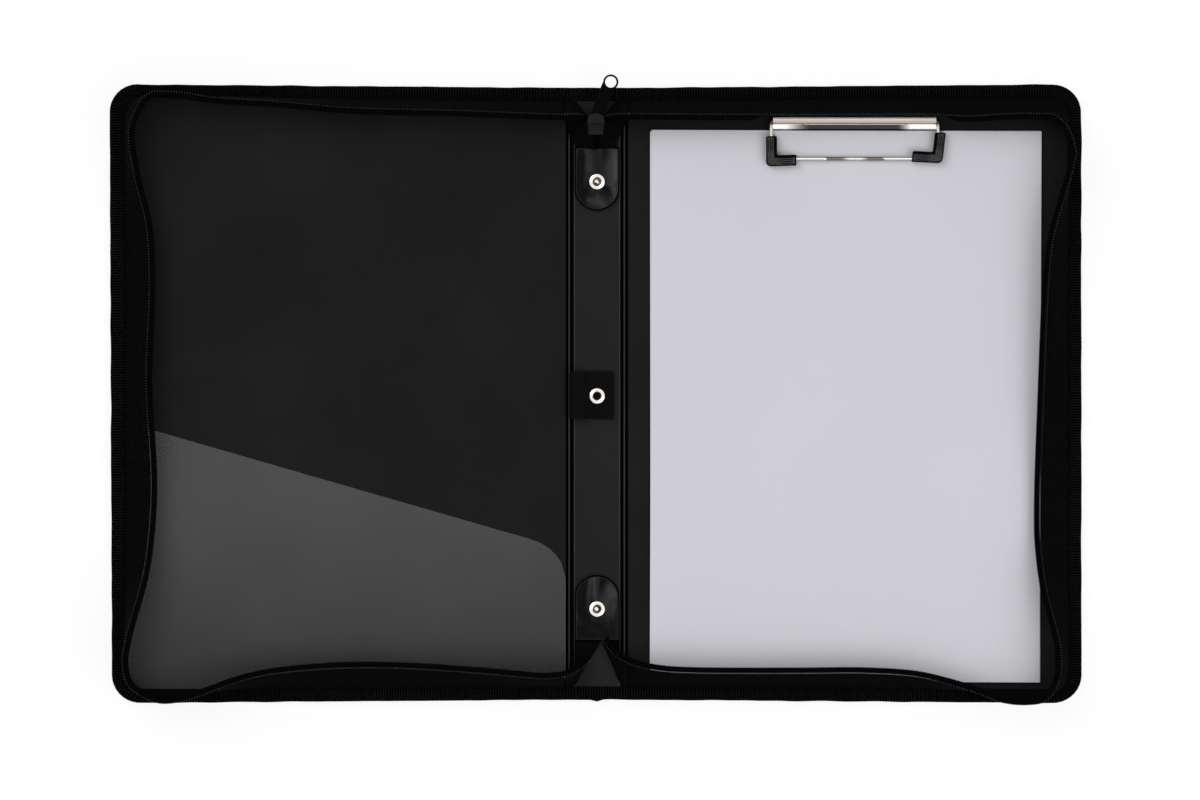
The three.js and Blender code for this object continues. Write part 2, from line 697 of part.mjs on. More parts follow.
// Puller: a waisted tab with a round eye, hooked under the bridge
function addPuller() {
  const pivotY = sliderY + sliderLength / 2 - bridgeSetback - bridgeBar - pullerFromBridge;
  const pivotZ = sliderHeight + 2 * sliderPlate + sliderThroat + bridgeOpening / 2;
  const bar = pullerThickness / 2;
  const half = pullerWidth / 2;
  const waist = pullerWaist / 2;
  const shoulder = pullerLength - eyeRadius * Math.cos(eyeOpening);
  const shape = new THREE.Shape();
  shape.moveTo(-waist, -bar);
  shape.lineTo(waist, -bar);
  shape.lineTo(waist, pullerWaistEnd);
  shape.quadraticCurveTo(waist, pullerSwell, half, shoulder);
  shape.absarc(0, pullerLength, eyeRadius, -eyeOpening, Math.PI + eyeOpening, false);
  shape.lineTo(-half, shoulder);
  shape.quadraticCurveTo(-waist, pullerSwell, -waist, pullerWaistEnd);
  shape.closePath();
  shape.holes.push(rectangle(-pullerSlot / 2, pullerSlot / 2, bar, bar + pullerSlotLength));
  shape.holes.push(roundHole(0, pullerLength, eyeHoleRadius));
  const geometry = slab(shape, -pullerThickness / 2, pullerThickness, 16);
  const turned = new THREE.Group();
  turned.position.set(sliderX, pivotY, pivotZ);
  turned.rotation.z = pullerYaw;
  folder.add(turned);
  addPart('zip_puller', geometry, blackPlastic(), turned);
}
addPuller();

// Clear pocket: its edge falls from the outer side to the spine, with one rounded corner
function addPocket() {
  const foot = halfHeightAtSpine - bindingWidth - clearance;
  const outer = halfWidth - bindingWidth - clearance;
  const inner = coverStart;
  const radius = innerCornerRadius - clearance;
  const slope = (pocketHighSide - pocketLowSide) / (outer - inner);
  const shape = new THREE.Shape();
  shape.moveTo(-inner, -foot);
  shape.lineTo(-inner, -foot + pocketLowSide - pocketTurnDown);
  shape.quadraticCurveTo(-inner, -foot + pocketLowSide, -inner - pocketTurnAcross,
    -foot + pocketLowSide + slope * pocketTurnAcross);
  shape.lineTo(-outer, -foot + pocketHighSide);
  shape.lineTo(-outer, -cornerY);
  shape.absarc(-cornerX, -cornerY, radius, Math.PI, Math.PI * 1.5, false);
  shape.closePath();
  addPart('clear_pocket', slab(shape, liningTop + pocketGap, pocketThickness), finish(0x5a5a5c, 0.35));
}
addPocket();

// Paper under the clip
const paperHead = halfHeightAtSpine - paperFromHead;
const paperLeft = coverStart + paperFromSpine;
const paperTop = liningTop + clearance / 3 + paperStack;
addPart('paper_sheets', slab(rectangle(paperLeft, paperLeft + paperWidth, paperHead - paperHeight, paperHead),
  liningTop + clearance / 3, paperStack), finish(0xcccdd2, 0.9));

// Clip base: a plate whose head edge is rolled into the tube that carries the bail
const tubeY = clipHeadEdge() - tubeFromPlateEdge;
const tubeZ = liningTop + clipPlate + tubeRadius + tubeAbovePlate;

function addClipBase() {
  const foot = clipHeadEdge() - clipPlateDepth;
  const top = liningTop + clipPlate;
  const shape = new THREE.Shape();
  shape.moveTo(foot, liningTop);
  shape.lineTo(clipHeadEdge(), liningTop);
  shape.lineTo(clipHeadEdge(), top);
  shape.lineTo(tubeY + tubeRadius, top);
  shape.absarc(tubeY, tubeZ, tubeRadius, 0, Math.PI * 1.25, false);
  shape.lineTo(tubeY - tubeRadius + tubeSeam, top);
  shape.lineTo(foot, top);
  shape.closePath();
  shape.holes.push(roundHole(tubeY, tubeZ, tubeBoreRadius));
  const bar = new THREE.ExtrudeGeometry(shape, { depth: clipLength, bevelEnabled: false, curveSegments: 20 });
  bar.rotateX(Math.PI / 2).rotateZ(Math.PI / 2).translate(clipCentreX - clipLength / 2, 0, 0);
  let body = solid(bar);
  clipRivetPlaces().forEach(([x, y]) => {
    const hole = new THREE.Shape().absarc(x, y, clipRivetRadius + clearance, 0, Math.PI * 2);
    body = body.subtract(solid(slab(hole, liningTop - cutMargin, clipPlate + 2 * cutMargin)));
  });
  addPart('clip_base', fromSolid(body), nickel());
}
addClipBase();

// Spring strip: a hollow-ground strip in front of the tube
function addSpringStrip() {
  const bottom = liningTop + clipPlate;
  const head = tubeY - tubeRadius - clearance;
  const foot = head - stripDepth;
  const shape = new THREE.Shape();
  shape.moveTo(foot, bottom);
  shape.lineTo(head, bottom);
  shape.lineTo(head, bottom + stripThickness + stripHollow);
  shape.quadraticCurveTo((foot + head) / 2, bottom + stripThickness - stripHollow,
    foot, bottom + stripThickness + stripHollow);
  shape.closePath();
  const strip = new THREE.ExtrudeGeometry(shape, { depth: clipLength, bevelEnabled: false, curveSegments: 8 });
  strip.rotateX(Math.PI / 2).rotateZ(Math.PI / 2).translate(clipCentreX - clipLength / 2, 0, 0);
  addPart('clip_spring_strip', strip, nickel());
}
addSpringStrip();

// The clip's two small rivets, from the plate down into the board
clipRivetPlaces().forEach(([x, y], k) => {
  const top = liningTop + clipPlate;
  const rivet = new THREE.LatheGeometry([
    [0, liningBottom], [clipRivetRadius, liningBottom], [clipRivetRadius, top - clearance], [0, top - clearance],
  ].map(([radius, z]) => new THREE.Vector2(radius, z)), 14);
  addPart(`clip_rivet_${k === 0 ? 'left' : 'right'}`, rivet.rotateX(Math.PI / 2).translate(x, y, 0), nickel());
});

// Bail: one wire with its ends turned into the tube
const bailHalf = clipLength / 2 + wireRadius + clearance;
const bailY = tubeY - bailReach;

function bailCorner(x, y, fromAngle, toAngle) {
  const steps = 5;
  return Array.from({ length: steps + 1 }, (unused, k) => {
    const angle = THREE.MathUtils.lerp(fromAngle, toAngle, k / steps);
    return new THREE.Vector3(x + bailBend * Math.cos(angle), y + bailBend * Math.sin(angle), tubeZ);
  });
}

function addBail() {
  const left = clipCentreX - bailHalf;
  const right = clipCentreX + bailHalf;
  const tight = wireRadius + bailHookGap;
  const point = (x, y) => new THREE.Vector3(x, y, tubeZ);
  const path = [
    point(left + bailStub, tubeY), point(left + tight, tubeY), point(left, tubeY - tight),
    ...bailCorner(left + bailBend, bailY + bailBend, Math.PI, Math.PI * 1.5),
    ...bailCorner(right - bailBend, bailY + bailBend, -Math.PI / 2, 0),
    point(right, tubeY - tight), point(right - tight, tubeY), point(right - bailStub, tubeY),
  ];
  addPart('bail_wire', rodGeometry(path, wireRadius, 8), nickel());
}
addBail();

// Corner grips: an L of plastic over each corner of the bail, open below
function addGrip(name, side) {
  const cornerAt = clipCentreX + side * bailHalf;
  const angled = (half, reachUp, reachIn) => {
    const shape = new THREE.Shape();
    shape.moveTo(cornerAt + side * half, bailY + reachUp);
    shape.lineTo(cornerAt + side * half, bailY - half + gripBevel);
    shape.lineTo(cornerAt + side * (half - gripBevel), bailY - half);
    shape.lineTo(cornerAt - side * reachIn, bailY - half);
    shape.lineTo(cornerAt - side * reachIn, bailY + half);
    shape.lineTo(cornerAt - side * half, bailY + half);
    shape.lineTo(cornerAt - side * half, bailY + reachUp);
    shape.closePath();
    return shape;
  };
  const half = gripWidth / 2;
  const channel = wireRadius + clearance;
  const bottom = paperTop + clearance;
  const channelTop = tubeZ + wireRadius + clearance;
  const outside = solid(slab(angled(half, gripLeg, gripFoot), bottom, channelTop + gripWall - bottom));
  // The channel is wider where the wire bends across the corner
  const cutBottom = bottom - cutMargin;
  const cutHeight = channelTop - cutBottom;
  const inside = solid(slab(angled(channel, gripLeg + cutMargin, gripFoot + cutMargin), cutBottom, cutHeight));
  const bend = new THREE.Shape();
  bend.moveTo(cornerAt + side * channel, bailY - channel);
  bend.lineTo(cornerAt - side * (bailBend + channel), bailY - channel);
  bend.lineTo(cornerAt - side * (bailBend + channel), bailY + channel);
  bend.lineTo(cornerAt - side * channel, bailY + bailBend + channel);
  bend.lineTo(cornerAt + side * channel, bailY + bailBend + channel);
  bend.closePath();
  const corner = solid(slab(bend, cutBottom, cutHeight));
  addPart(name, fromSolid(outside.subtract(inside).subtract(corner)), blackPlastic());
}
addGrip('bail_grip_left', -1);
addGrip('bail_grip_right', 1);

export default folder;
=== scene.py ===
# %% [markdown]
# # A zip-round document folder
# The folder lies open and flat, and the camera looks straight down on it. Left is the inside of the
# front cover with its clear pocket, the middle is the spine, and right is the inside of the back cover
# with a wire clip and paper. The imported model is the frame: it gives the place and size of every piece.

import math
import random

import bmesh
import bpy
import numpy as np
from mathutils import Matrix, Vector, noise
from mathutils.geometry import tessellate_polygon


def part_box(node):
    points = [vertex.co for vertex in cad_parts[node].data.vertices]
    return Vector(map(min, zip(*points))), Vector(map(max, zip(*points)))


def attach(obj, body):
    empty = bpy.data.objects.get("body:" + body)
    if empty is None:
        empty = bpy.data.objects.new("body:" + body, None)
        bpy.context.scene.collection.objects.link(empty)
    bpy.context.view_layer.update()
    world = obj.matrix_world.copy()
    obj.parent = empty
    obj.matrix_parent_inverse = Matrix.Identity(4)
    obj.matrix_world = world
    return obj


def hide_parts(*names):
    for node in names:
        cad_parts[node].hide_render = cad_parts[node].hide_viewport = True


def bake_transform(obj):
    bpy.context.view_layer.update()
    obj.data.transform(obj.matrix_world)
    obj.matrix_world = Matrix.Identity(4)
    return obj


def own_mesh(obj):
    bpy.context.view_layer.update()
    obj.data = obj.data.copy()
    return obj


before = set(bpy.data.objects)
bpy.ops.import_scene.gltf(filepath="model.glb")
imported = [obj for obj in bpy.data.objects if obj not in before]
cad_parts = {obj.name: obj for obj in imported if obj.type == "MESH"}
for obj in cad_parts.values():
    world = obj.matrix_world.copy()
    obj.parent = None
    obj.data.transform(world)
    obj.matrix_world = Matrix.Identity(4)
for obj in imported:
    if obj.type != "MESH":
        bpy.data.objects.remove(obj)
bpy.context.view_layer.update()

# %% [markdown]
# Sizes are in millimetres, as on a maker's drawing. They are turned into metres where a mesh, the camera, a
# mask or a joint needs them. They are read off the frame where a solid has them, so that a finer piece sits
# where its solid sits.

# %% Sizes
MM = 0.001


def box_mm(node):
    low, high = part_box(node)
    return low / MM, high / MM


lining_low, lining_high = box_mm("back_cover_lining")
binding_low, binding_high = box_mm("back_cover_binding")

LINING_TOP = lining_high.z
BINDING_TOP = binding_high.z
BINDING_LEAF = BINDING_TOP - LINING_TOP
HALF_WIDTH = binding_high.x
HALF_HEIGHT_CORNER = binding_high.y
HALF_HEIGHT_SPINE = box_mm("spine_binding_head")[1].y
COVER_START = lining_low.x
BINDING_START = binding_low.x
SPINE_HALF = box_mm("spine_lining")[1].x
SPINE_BINDING_HALF = box_mm("spine_binding_head")[1].x
BINDING_WIDTH = 7.2
CORNER_RADIUS = 15.3
HINGE_X = (COVER_START + SPINE_HALF) / 2
CORNER_X = HALF_WIDTH - CORNER_RADIUS
CORNER_Y = HALF_HEIGHT_CORNER - CORNER_RADIUS
INNER_RADIUS = CORNER_RADIUS - BINDING_WIDTH
SEAM_Y = HALF_HEIGHT_SPINE - BINDING_WIDTH
print("half width", round(HALF_WIDTH, 2), "lining top", round(LINING_TOP, 2), "hinge at", round(HINGE_X, 2))

# %% [markdown]
# ## Camera
# The photograph is taken from straight above, far enough away that the sides of the covers don't show.
# One of its pixels is 0.539 mm on the paper, which sets the width of the view. The folder's centre lies
# 3 pixels left of the picture's centre and 6.25 pixels above it, so the camera aims that far beside it.

# %% Camera
PIXEL = 0.539
PICTURE_WIDTH = 1200
CAMERA_HEIGHT = 6000
SENSOR = 36
AIM_RIGHT, AIM_UP = 3, -6.25
FARTHEST_SEEN = 40
aim = Vector((AIM_RIGHT * PIXEL, AIM_UP * PIXEL, 0)) * MM
camera_data = bpy.data.cameras.new("camera")
camera_data.sensor_width = SENSOR
camera_data.lens = SENSOR * (CAMERA_HEIGHT - LINING_TOP) / (PICTURE_WIDTH * PIXEL)
camera_data.clip_end = FARTHEST_SEEN
camera = bpy.data.objects.new("camera", camera_data)
camera.location = aim + Vector((0, 0, CAMERA_HEIGHT * MM))
bpy.context.scene.collection.objects.link(camera)
bpy.context.scene.camera = camera
print("lens", round(camera_data.lens, 1))

# %% [markdown]
# ## Mesh helpers
# Every piece starts as points in millimetres and faces between them. One helper turns them into a mesh
# object, at real size in metres, and gives it UVs where a woven material will need them.


# %% A piece from points
def new_piece(name, points, faces, uvs=None, smooth=True):
    """A mesh object from points in millimetres; uvs is one pair for each corner of each face."""
    mesh = bpy.data.meshes.new(name)
    mesh.from_pydata([tuple(Vector(point) * MM) for point in points], [], faces)
    if uvs is not None:
        layer = mesh.uv_layers.new(name="millimetres")
        layer.data.foreach_set("uv", np.array(uvs, float).ravel())
    mesh.polygons.foreach_set("use_smooth", [smooth] * len(mesh.polygons))
    mesh.validate()
    mesh.update()
    piece = bpy.data.objects.new(name, mesh)
    bpy.context.scene.collection.objects.link(piece)
    return piece


print("pieces can be made from points")

# %% [markdown]
# Most pieces of the folder are a section carried along a line, such as the binding, the tape and the
# grooves. Curves with a bevel could make some of them, but a section that changes on its way needs rings of
# points. This helper joins the rings into a skin, caps its ends and lays out UVs in millimetres.


# %% Pieces from rings
def rings_to_piece(name, rings, closed=True, caps=True, smooth=True):
    """Joins rings of points; U runs along the rings and V round each ring, both in millimetres."""
    count = len(rings[0])
    grid = np.array([[tuple(point) for point in ring] for ring in rings])
    middles = grid.mean(axis=1)
    along = np.concatenate([[0], np.cumsum(np.linalg.norm(np.diff(middles, axis=0), axis=1))])
    ring = grid[0]
    round_ring = np.concatenate([[0], np.cumsum(np.linalg.norm(np.diff(np.vstack([ring, ring[:1]]), axis=0),
                                                               axis=1))])
    points = grid.reshape(-1, 3)
    here, k = np.meshgrid(np.arange(len(rings) - 1), np.arange(count if closed else count - 1), indexing="ij")
    after = (k + 1) % count
    corners = [(here, k, k), (here, after, k + 1), (here + 1, after, k + 1), (here + 1, k, k)]
    faces = np.stack([i * count + place for i, place, turn in corners], -1).reshape(-1, 4).tolist()
    uvs = np.stack([np.stack([along[i], round_ring[turn]], -1) for i, place, turn in corners], -2)
    uvs = uvs.reshape(-1, 2).tolist()
    if caps and closed:
        for start, flip in ((0, False), ((len(rings) - 1) * count, True)):
            ends = [Vector(points[start + k]) for k in range(count)]
            for triangle in tessellate_polygon([ends]):
                corners = [start + k for k in (reversed(triangle) if flip else triangle)]
                faces.append(tuple(corners))
                uvs += [(along[-1] if flip else 0, round_ring[k - start]) for k in corners]
    piece = new_piece(name, points, faces, uvs, smooth)
    outward(piece)
    return piece


print("pieces can be joined from rings")

# %% [markdown]
# Two helpers finish a skin. One turns every face outward, and the other keeps steep edges sharp where the
# rest is shaded smooth.


# %% Faces and sharp edges
def outward(piece):
    """Turns all faces of a closed mesh to face out."""
    mesh = bmesh.new()
    mesh.from_mesh(piece.data)
    bmesh.ops.recalc_face_normals(mesh, faces=mesh.faces)
    mesh.to_mesh(piece.data)
    mesh.free()


def sharpen(piece, degrees=35):
    """Edges steeper than an angle stay sharp where the rest is shaded smooth."""
    mesh = bmesh.new()
    mesh.from_mesh(piece.data)
    for edge in mesh.edges:
        edge.smooth = len(edge.link_faces) == 2 and edge.calc_face_angle(0) < math.radians(degrees)
    mesh.to_mesh(piece.data)
    mesh.free()


print("faces can be turned and edges sharpened")

# %% [markdown]
# Lines are given by a few measured stops. A smooth curve passes through all of them, and a second helper
# lays points along it at even distances.


# %% Curves
def smooth_curve(stops, places):
    """A centripetal Catmull-Rom curve through stops; place 1.5 is halfway from the second to the third."""
    stops = np.array([tuple(stop) for stop in stops], float)
    padded = np.vstack([2 * stops[0] - stops[1], stops, 2 * stops[-1] - stops[-2]])
    out = []
    for place in places:
        k = min(int(place), len(stops) - 2)
        a, b, c, d = padded[k:k + 4]
        before, here, after = (max(np.linalg.norm(step) ** 0.5, 1e-4) for step in (b - a, c - b, d - c))
        leaving = ((b - a) / before - (c - a) / (before + here) + (c - b) / here) * here
        arriving = ((c - b) / here - (d - b) / (here + after) + (d - c) / after) * here
        t = place - k
        out.append(b + leaving * t + (3 * (c - b) - 2 * leaving - arriving) * t ** 2
                   + (2 * (b - c) + leaving + arriving) * t ** 3)
    return np.array(out)


def evenly(points, spacing, axes=3):
    """The same line with its points a fixed distance apart; the first axes columns are its place."""
    points = np.array(points, float)
    steps = np.linalg.norm(np.diff(points[:, :axes], axis=0), axis=1)
    travelled = np.concatenate([[0], np.cumsum(steps)])
    wanted = np.linspace(0, travelled[-1], max(int(round(travelled[-1] / spacing)), 1) + 1)
    columns = [np.interp(wanted, travelled, points[:, column]) for column in range(points.shape[1])]
    return np.stack(columns, -1), wanted


print("curves can be drawn")

# %% [markdown]
# Rivets are turned from a profile, and flat pieces are raised from an outline. Their rims are rounded,
# because neither pressed metal nor moulded plastic has a perfectly sharp rim.


# %% Turned and flat pieces
def lathe(name, profile, centre, sides=48):
    """Turns a profile of (radius, height) about a vertical axis; it starts and ends on the axis."""
    rings = [[(centre[0] + radius * math.cos(turn), centre[1] + radius * math.sin(turn), height)
              for turn in np.linspace(0, math.tau, sides, endpoint=False)]
             for radius, height in ((max(radius, 0.001), height) for radius, height in profile)]
    return rings_to_piece(name, rings)


def plate(name, outline, bottom, top, bevel=0.0, segments=3):
    """An outline in millimetres, raised from bottom to top, with its rims rounded."""
    count = len(outline)
    points = [(x, y, bottom) for x, y in outline] + [(x, y, top) for x, y in outline]
    faces = [tuple(reversed(range(count))), tuple(range(count, 2 * count))]
    faces += [(k, (k + 1) % count, (k + 1) % count + count, k + count) for k in range(count)]
    piece = new_piece(name, points, faces, smooth=False)
    outward(piece)
    if bevel:
        round_rims(piece, bevel, segments)
    return piece


def round_rims(piece, width, segments=3, degrees=30):
    """A bevel modifier that rounds the sharp rims, then keeps flat faces flat."""
    bevel = piece.modifiers.new("rounded rims", "BEVEL")
    bevel.width = width * MM
    bevel.segments = segments
    bevel.limit_method = "ANGLE"
    bevel.angle_limit = math.radians(degrees)
    bevel.harden_normals = True
    piece.data.polygons.foreach_set("use_smooth", [True] * len(piece.data.polygons))


print("pieces can be turned and raised")

# %% [markdown]
# Every finished piece gets its material and the body that carries it, and the solids that it stands for are
# hidden.


# %% Finish of a piece
def finish_piece(piece, material, body=None, replaced=()):
    """Gives a piece its material, sets the body it rides on and hides the solids it stands for."""
    piece.data.materials.clear()
    piece.data.materials.append(material)
    if body:
        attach(piece, body)
    if replaced:
        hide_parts(*replaced)
    return piece


print("mesh helpers ready")

# %% [markdown]
# ## Shared surface effects
# The real folder is black nearly all over, so its parts are told apart by their surface: pebble grain on
# the lining, ribs on the binding, a herringbone on the tapes and a gloss on the tabs. Each effect is a
# node group that puts out a height or a mask, and every material that has it sets its own scale.


# %% Node group helpers
def group_with(name, inputs, outputs):
    """An empty shader group with named float inputs and outputs."""
    group = bpy.data.node_groups.new(name, "ShaderNodeTree")
    for label, value in inputs:
        kind = "NodeSocketVector" if value is None else "NodeSocketFloat"
        socket = group.interface.new_socket(name=label, in_out="INPUT", socket_type=kind)
        if value is not None:
            socket.default_value = value
    for label in outputs:
        group.interface.new_socket(name=label, in_out="OUTPUT", socket_type="NodeSocketFloat")
    return group, group.nodes.new("NodeGroupInput"), group.nodes.new("NodeGroupOutput")


def math_node(tree, operation, first, second=None, third=None):
    """A Math node; each operand is a number or a socket."""
    node = tree.nodes.new("ShaderNodeMath")
    node.operation = operation
    for index, operand in enumerate((first, second, third)):
        if operand is None:
            continue
        if isinstance(operand, (int, float)):
            node.inputs[index].default_value = operand
        else:
            tree.links.new(operand, node.inputs[index])
    return node.outputs[0]


def spread(tree, value, low, high, to_low, to_high):
    """Maps a value from one range onto another, held at both ends."""
    node = tree.nodes.new("ShaderNodeMapRange")
    tree.links.new(value, node.inputs["Value"])
    for label, number in (("From Min", low), ("From Max", high), ("To Min", to_low), ("To Max", to_high)):
        node.inputs[label].default_value = number
    return node.outputs["Result"]


print("node helpers ready")

# %% [markdown]
# Pebble grain is pressed into plastic sheet by a roller: small rounded cells of uneven size. A Voronoi
# pattern gives the cells and a noise makes them drift. The group works on object coordinates, in which
# one unit is a metre, so its scale is given in cells per metre.

# %% Pebble grain group
CELL_SMOOTHNESS = 0.6
CLOUD_SCALE = 14
DRIFT_TO_CELLS = 0.4
grain_group, grain_in, grain_out = group_with(
    "pebble grain", [("Vector", None), ("Scale", 1500.0), ("Drift", 0.35)], ["Height", "Cloud"])
cells = grain_group.nodes.new("ShaderNodeTexVoronoi")
cells.feature = "SMOOTH_F1"
cells.inputs["Smoothness"].default_value = CELL_SMOOTHNESS
drift = grain_group.nodes.new("ShaderNodeTexNoise")
drift.inputs["Detail"].default_value = 3
cloud = grain_group.nodes.new("ShaderNodeTexNoise")
cloud.inputs["Scale"].default_value = CLOUD_SCALE
cloud.inputs["Detail"].default_value = 4
grain_group.links.new(grain_in.outputs["Vector"], cells.inputs["Vector"])
grain_group.links.new(grain_in.outputs["Vector"], drift.inputs["Vector"])
grain_group.links.new(grain_in.outputs["Vector"], cloud.inputs["Vector"])
grain_group.links.new(grain_in.outputs["Scale"], cells.inputs["Scale"])
drift_scale = math_node(grain_group, "MULTIPLY", grain_in.outputs["Scale"], DRIFT_TO_CELLS)
grain_group.links.new(drift_scale, drift.inputs["Scale"])
drifting = math_node(grain_group, "MULTIPLY", drift.outputs["Fac"], grain_in.outputs["Drift"])
pebbles = math_node(grain_group, "SUBTRACT", drifting, cells.outputs["Distance"])
grain_group.links.new(pebbles, grain_out.inputs["Height"])
grain_group.links.new(cloud.outputs["Fac"], grain_out.inputs["Cloud"])
print("pebble grain ready")

# %% [markdown]
# Woven ribs and a herringbone are both made of stripes across the strip. The pieces carry UVs in
# millimetres, U along the strip and V across it. Straight ribs read U alone. A herringbone adds a zigzag
# of V to U, so that the stripes slope one way and then the other.

# %% Weave group
FIBRES_PER_MM = 1.3
weave_group, weave_in, weave_out = group_with(
    "weave", [("Vector", None), ("Pitch", 1.2), ("Zigzag", 0.0), ("Fold", 3.0), ("Fuzz", 0.2)],
    ["Height", "Mask"])
apart = weave_group.nodes.new("ShaderNodeSeparateXYZ")
weave_group.links.new(weave_in.outputs["Vector"], apart.inputs["Vector"])
zigzag = math_node(weave_group, "PINGPONG", apart.outputs["Y"], weave_in.outputs["Fold"])
slanted = math_node(weave_group, "MULTIPLY", zigzag, weave_in.outputs["Zigzag"])
shifted = math_node(weave_group, "ADD", apart.outputs["X"], slanted)
turns = math_node(weave_group, "DIVIDE", shifted, weave_in.outputs["Pitch"])
wave = math_node(weave_group, "SINE", math_node(weave_group, "MULTIPLY", turns, math.tau))
fibres = weave_group.nodes.new("ShaderNodeTexNoise")
fibres.inputs["Scale"].default_value = FIBRES_PER_MM
fibres.inputs["Detail"].default_value = 3
weave_group.links.new(weave_in.outputs["Vector"], fibres.inputs["Vector"])
centred = math_node(weave_group, "SUBTRACT", fibres.outputs["Fac"], 0.5)
fuzzy = math_node(weave_group, "MULTIPLY", centred, weave_in.outputs["Fuzz"])
ribs = math_node(weave_group, "MULTIPLY_ADD", wave, 0.5, fuzzy)
weave_group.links.new(ribs, weave_out.inputs["Height"])
# Mask marks the crests of the stripes, where the woven materials paint a sheen.
weave_group.links.new(spread(weave_group, ribs, 0.0, 0.5, 0, 1), weave_out.inputs["Mask"])
print("weave ready")

# %% [markdown]
# Dust and handling leave faint pale specks and slightly duller patches on black plastic. One group gives
# both, so that every material ages alike.

# %% Dust group
SPECK_SCALE = 900
PATCH_SCALE = 9
SPECK_START, SPECK_FULL = 0.45, 0.75
dust_group, dust_in, dust_out = group_with("dust", [("Vector", None), ("Amount", 0.5)], ["Specks", "Patches"])
specks = dust_group.nodes.new("ShaderNodeTexNoise")
specks.inputs["Scale"].default_value = SPECK_SCALE
specks.inputs["Detail"].default_value = 2
patches = dust_group.nodes.new("ShaderNodeTexNoise")
patches.inputs["Scale"].default_value = PATCH_SCALE
patches.inputs["Detail"].default_value = 5
for texture in (specks, patches):
    dust_group.links.new(dust_in.outputs["Vector"], texture.inputs["Vector"])
sharp = spread(dust_group, specks.outputs["Fac"], SPECK_START, SPECK_FULL, 0, 1)
speckled = math_node(dust_group, "MULTIPLY", sharp, dust_in.outputs["Amount"])
dust_group.links.new(speckled, dust_out.inputs["Specks"])
dust_group.links.new(patches.outputs["Fac"], dust_out.inputs["Patches"])
print("dust ready")

# %% [markdown]
# ## Materials
# A colour is read off the paper or plastic as a value from 0 to 255 and turned into the linear value that
# the shader wants. Plain numbers, such as the gloss level, go straight onto the shader's own sockets.


# %% Material helpers
def from_screen(*values):
    """Screen values from 0 to 255 as a linear colour with alpha 1."""
    linear = [((v / 255 + 0.055) / 1.055) ** 2.4 if v > 10 else v / 255 / 12.92 for v in values]
    return (*(linear * 3 if len(linear) == 1 else linear), 1)


def new_material(name, colour, roughness, gloss=0.3, metal=0.0):
    """A material with a Principled shader, its colour and its plain gloss numbers."""
    material = bpy.data.materials.new(name)
    material.use_nodes = True
    shader = material.node_tree.nodes["Principled BSDF"]
    shader.inputs["Base Color"].default_value = colour
    shader.inputs["Roughness"].default_value = roughness
    shader.inputs["Specular IOR Level"].default_value = gloss
    shader.inputs["Metallic"].default_value = metal
    return material, material.node_tree, shader


def coordinates(tree, kind="Object"):
    node = tree.nodes.get("places") or tree.nodes.new("ShaderNodeTexCoord")
    node.name = "places"
    return node.outputs[kind]


print("colours, materials and places")

# %% [markdown]
# The shared effects are plugged into a material in the same few ways: a group is fed with places, a height
# drives a bump, a mask mixes two colours, and dust with one more lightening mask drives colour and roughness
# together. That mask is random tone on the sheets and a painted sheen on the tabs and on woven ribs.


# %% Effects in a material
def place_group(tree, group, kind="Object", **values):
    """Puts a shared effect into a material, fed by object places or by the millimetre UVs."""
    node = tree.nodes.new("ShaderNodeGroup")
    node.node_tree = group
    tree.links.new(coordinates(tree, kind), node.inputs["Vector"])
    for label, value in values.items():
        node.inputs[label].default_value = value
    return node


def raise_surface(tree, shader, height, strength, distance, below=None):
    """A Bump node on the shader's Normal; distance is in millimetres. Bumps can be stacked with below."""
    bump = tree.nodes.new("ShaderNodeBump")
    bump.inputs["Strength"].default_value = strength
    bump.inputs["Distance"].default_value = distance * MM
    tree.links.new(height, bump.inputs["Height"])
    if below is not None:
        tree.links.new(below, bump.inputs["Normal"])
    tree.links.new(bump.outputs["Normal"], shader.inputs["Normal"])
    return bump.outputs["Normal"]


def along_axis(tree, axis, start, end, at_start=0, at_end=1):
    """A mask that changes between two places on an axis, in millimetres, and is held past them."""
    apart = tree.nodes.new("ShaderNodeSeparateXYZ")
    tree.links.new(coordinates(tree), apart.inputs["Vector"])
    return spread(tree, apart.outputs[axis], start * MM, end * MM, at_start, at_end)


def tint(tree, shader, mask, dark, light):
    """Base Color runs from dark to light with a mask."""
    mix = tree.nodes.new("ShaderNodeMix")
    mix.data_type = "RGBA"
    tree.links.new(mask, mix.inputs["Factor"])
    mix.inputs["A"].default_value = dark
    mix.inputs["B"].default_value = light
    tree.links.new(mix.outputs["Result"], shader.inputs["Base Color"])


def age(tree, shader, dark, light, rough_low, rough_high, amount=0.5, tone_and_painted_sheen=None):
    """Dust specks lighten the colour and duller patches roughen it; one more mask lightens, as tone on sheets
    and painted sheen on tabs and weaves.
    """
    dust = place_group(tree, dust_group, Amount=amount)
    mask = dust.outputs["Specks"]
    if tone_and_painted_sheen is not None:
        mask = math_node(tree, "MAXIMUM", mask, tone_and_painted_sheen)
    tint(tree, shader, mask, dark, light)
    rough = spread(tree, dust.outputs["Patches"], 0.3, 0.7, rough_low, rough_high)
    tree.links.new(rough, shader.inputs["Roughness"])


print("effects can be plugged in")

# %% [markdown]
# The inside is lined with thin black plastic sheet. Seen close it has a fine pebble, and it is a little
# greyer than the binding because light spreads on the pebbles. The outside sheet is thicker, with a
# coarser pebble. Both use the same grain group at their own scale.

# %% Sheet materials


def sheet_material(name, dark, light, scale, relief, roughness, gloss):
    material, tree, shader = new_material(name, from_screen(dark), roughness, gloss)
    grain = place_group(tree, grain_group, Scale=scale)
    raise_surface(tree, shader, grain.outputs["Height"], 0.6, relief)
    clouded = spread(tree, grain.outputs["Cloud"], 0.3, 0.7, 0, 0.35)
    age(tree, shader, from_screen(dark), from_screen(light), roughness - 0.06, roughness + 0.06, 0.4, clouded)
    return material


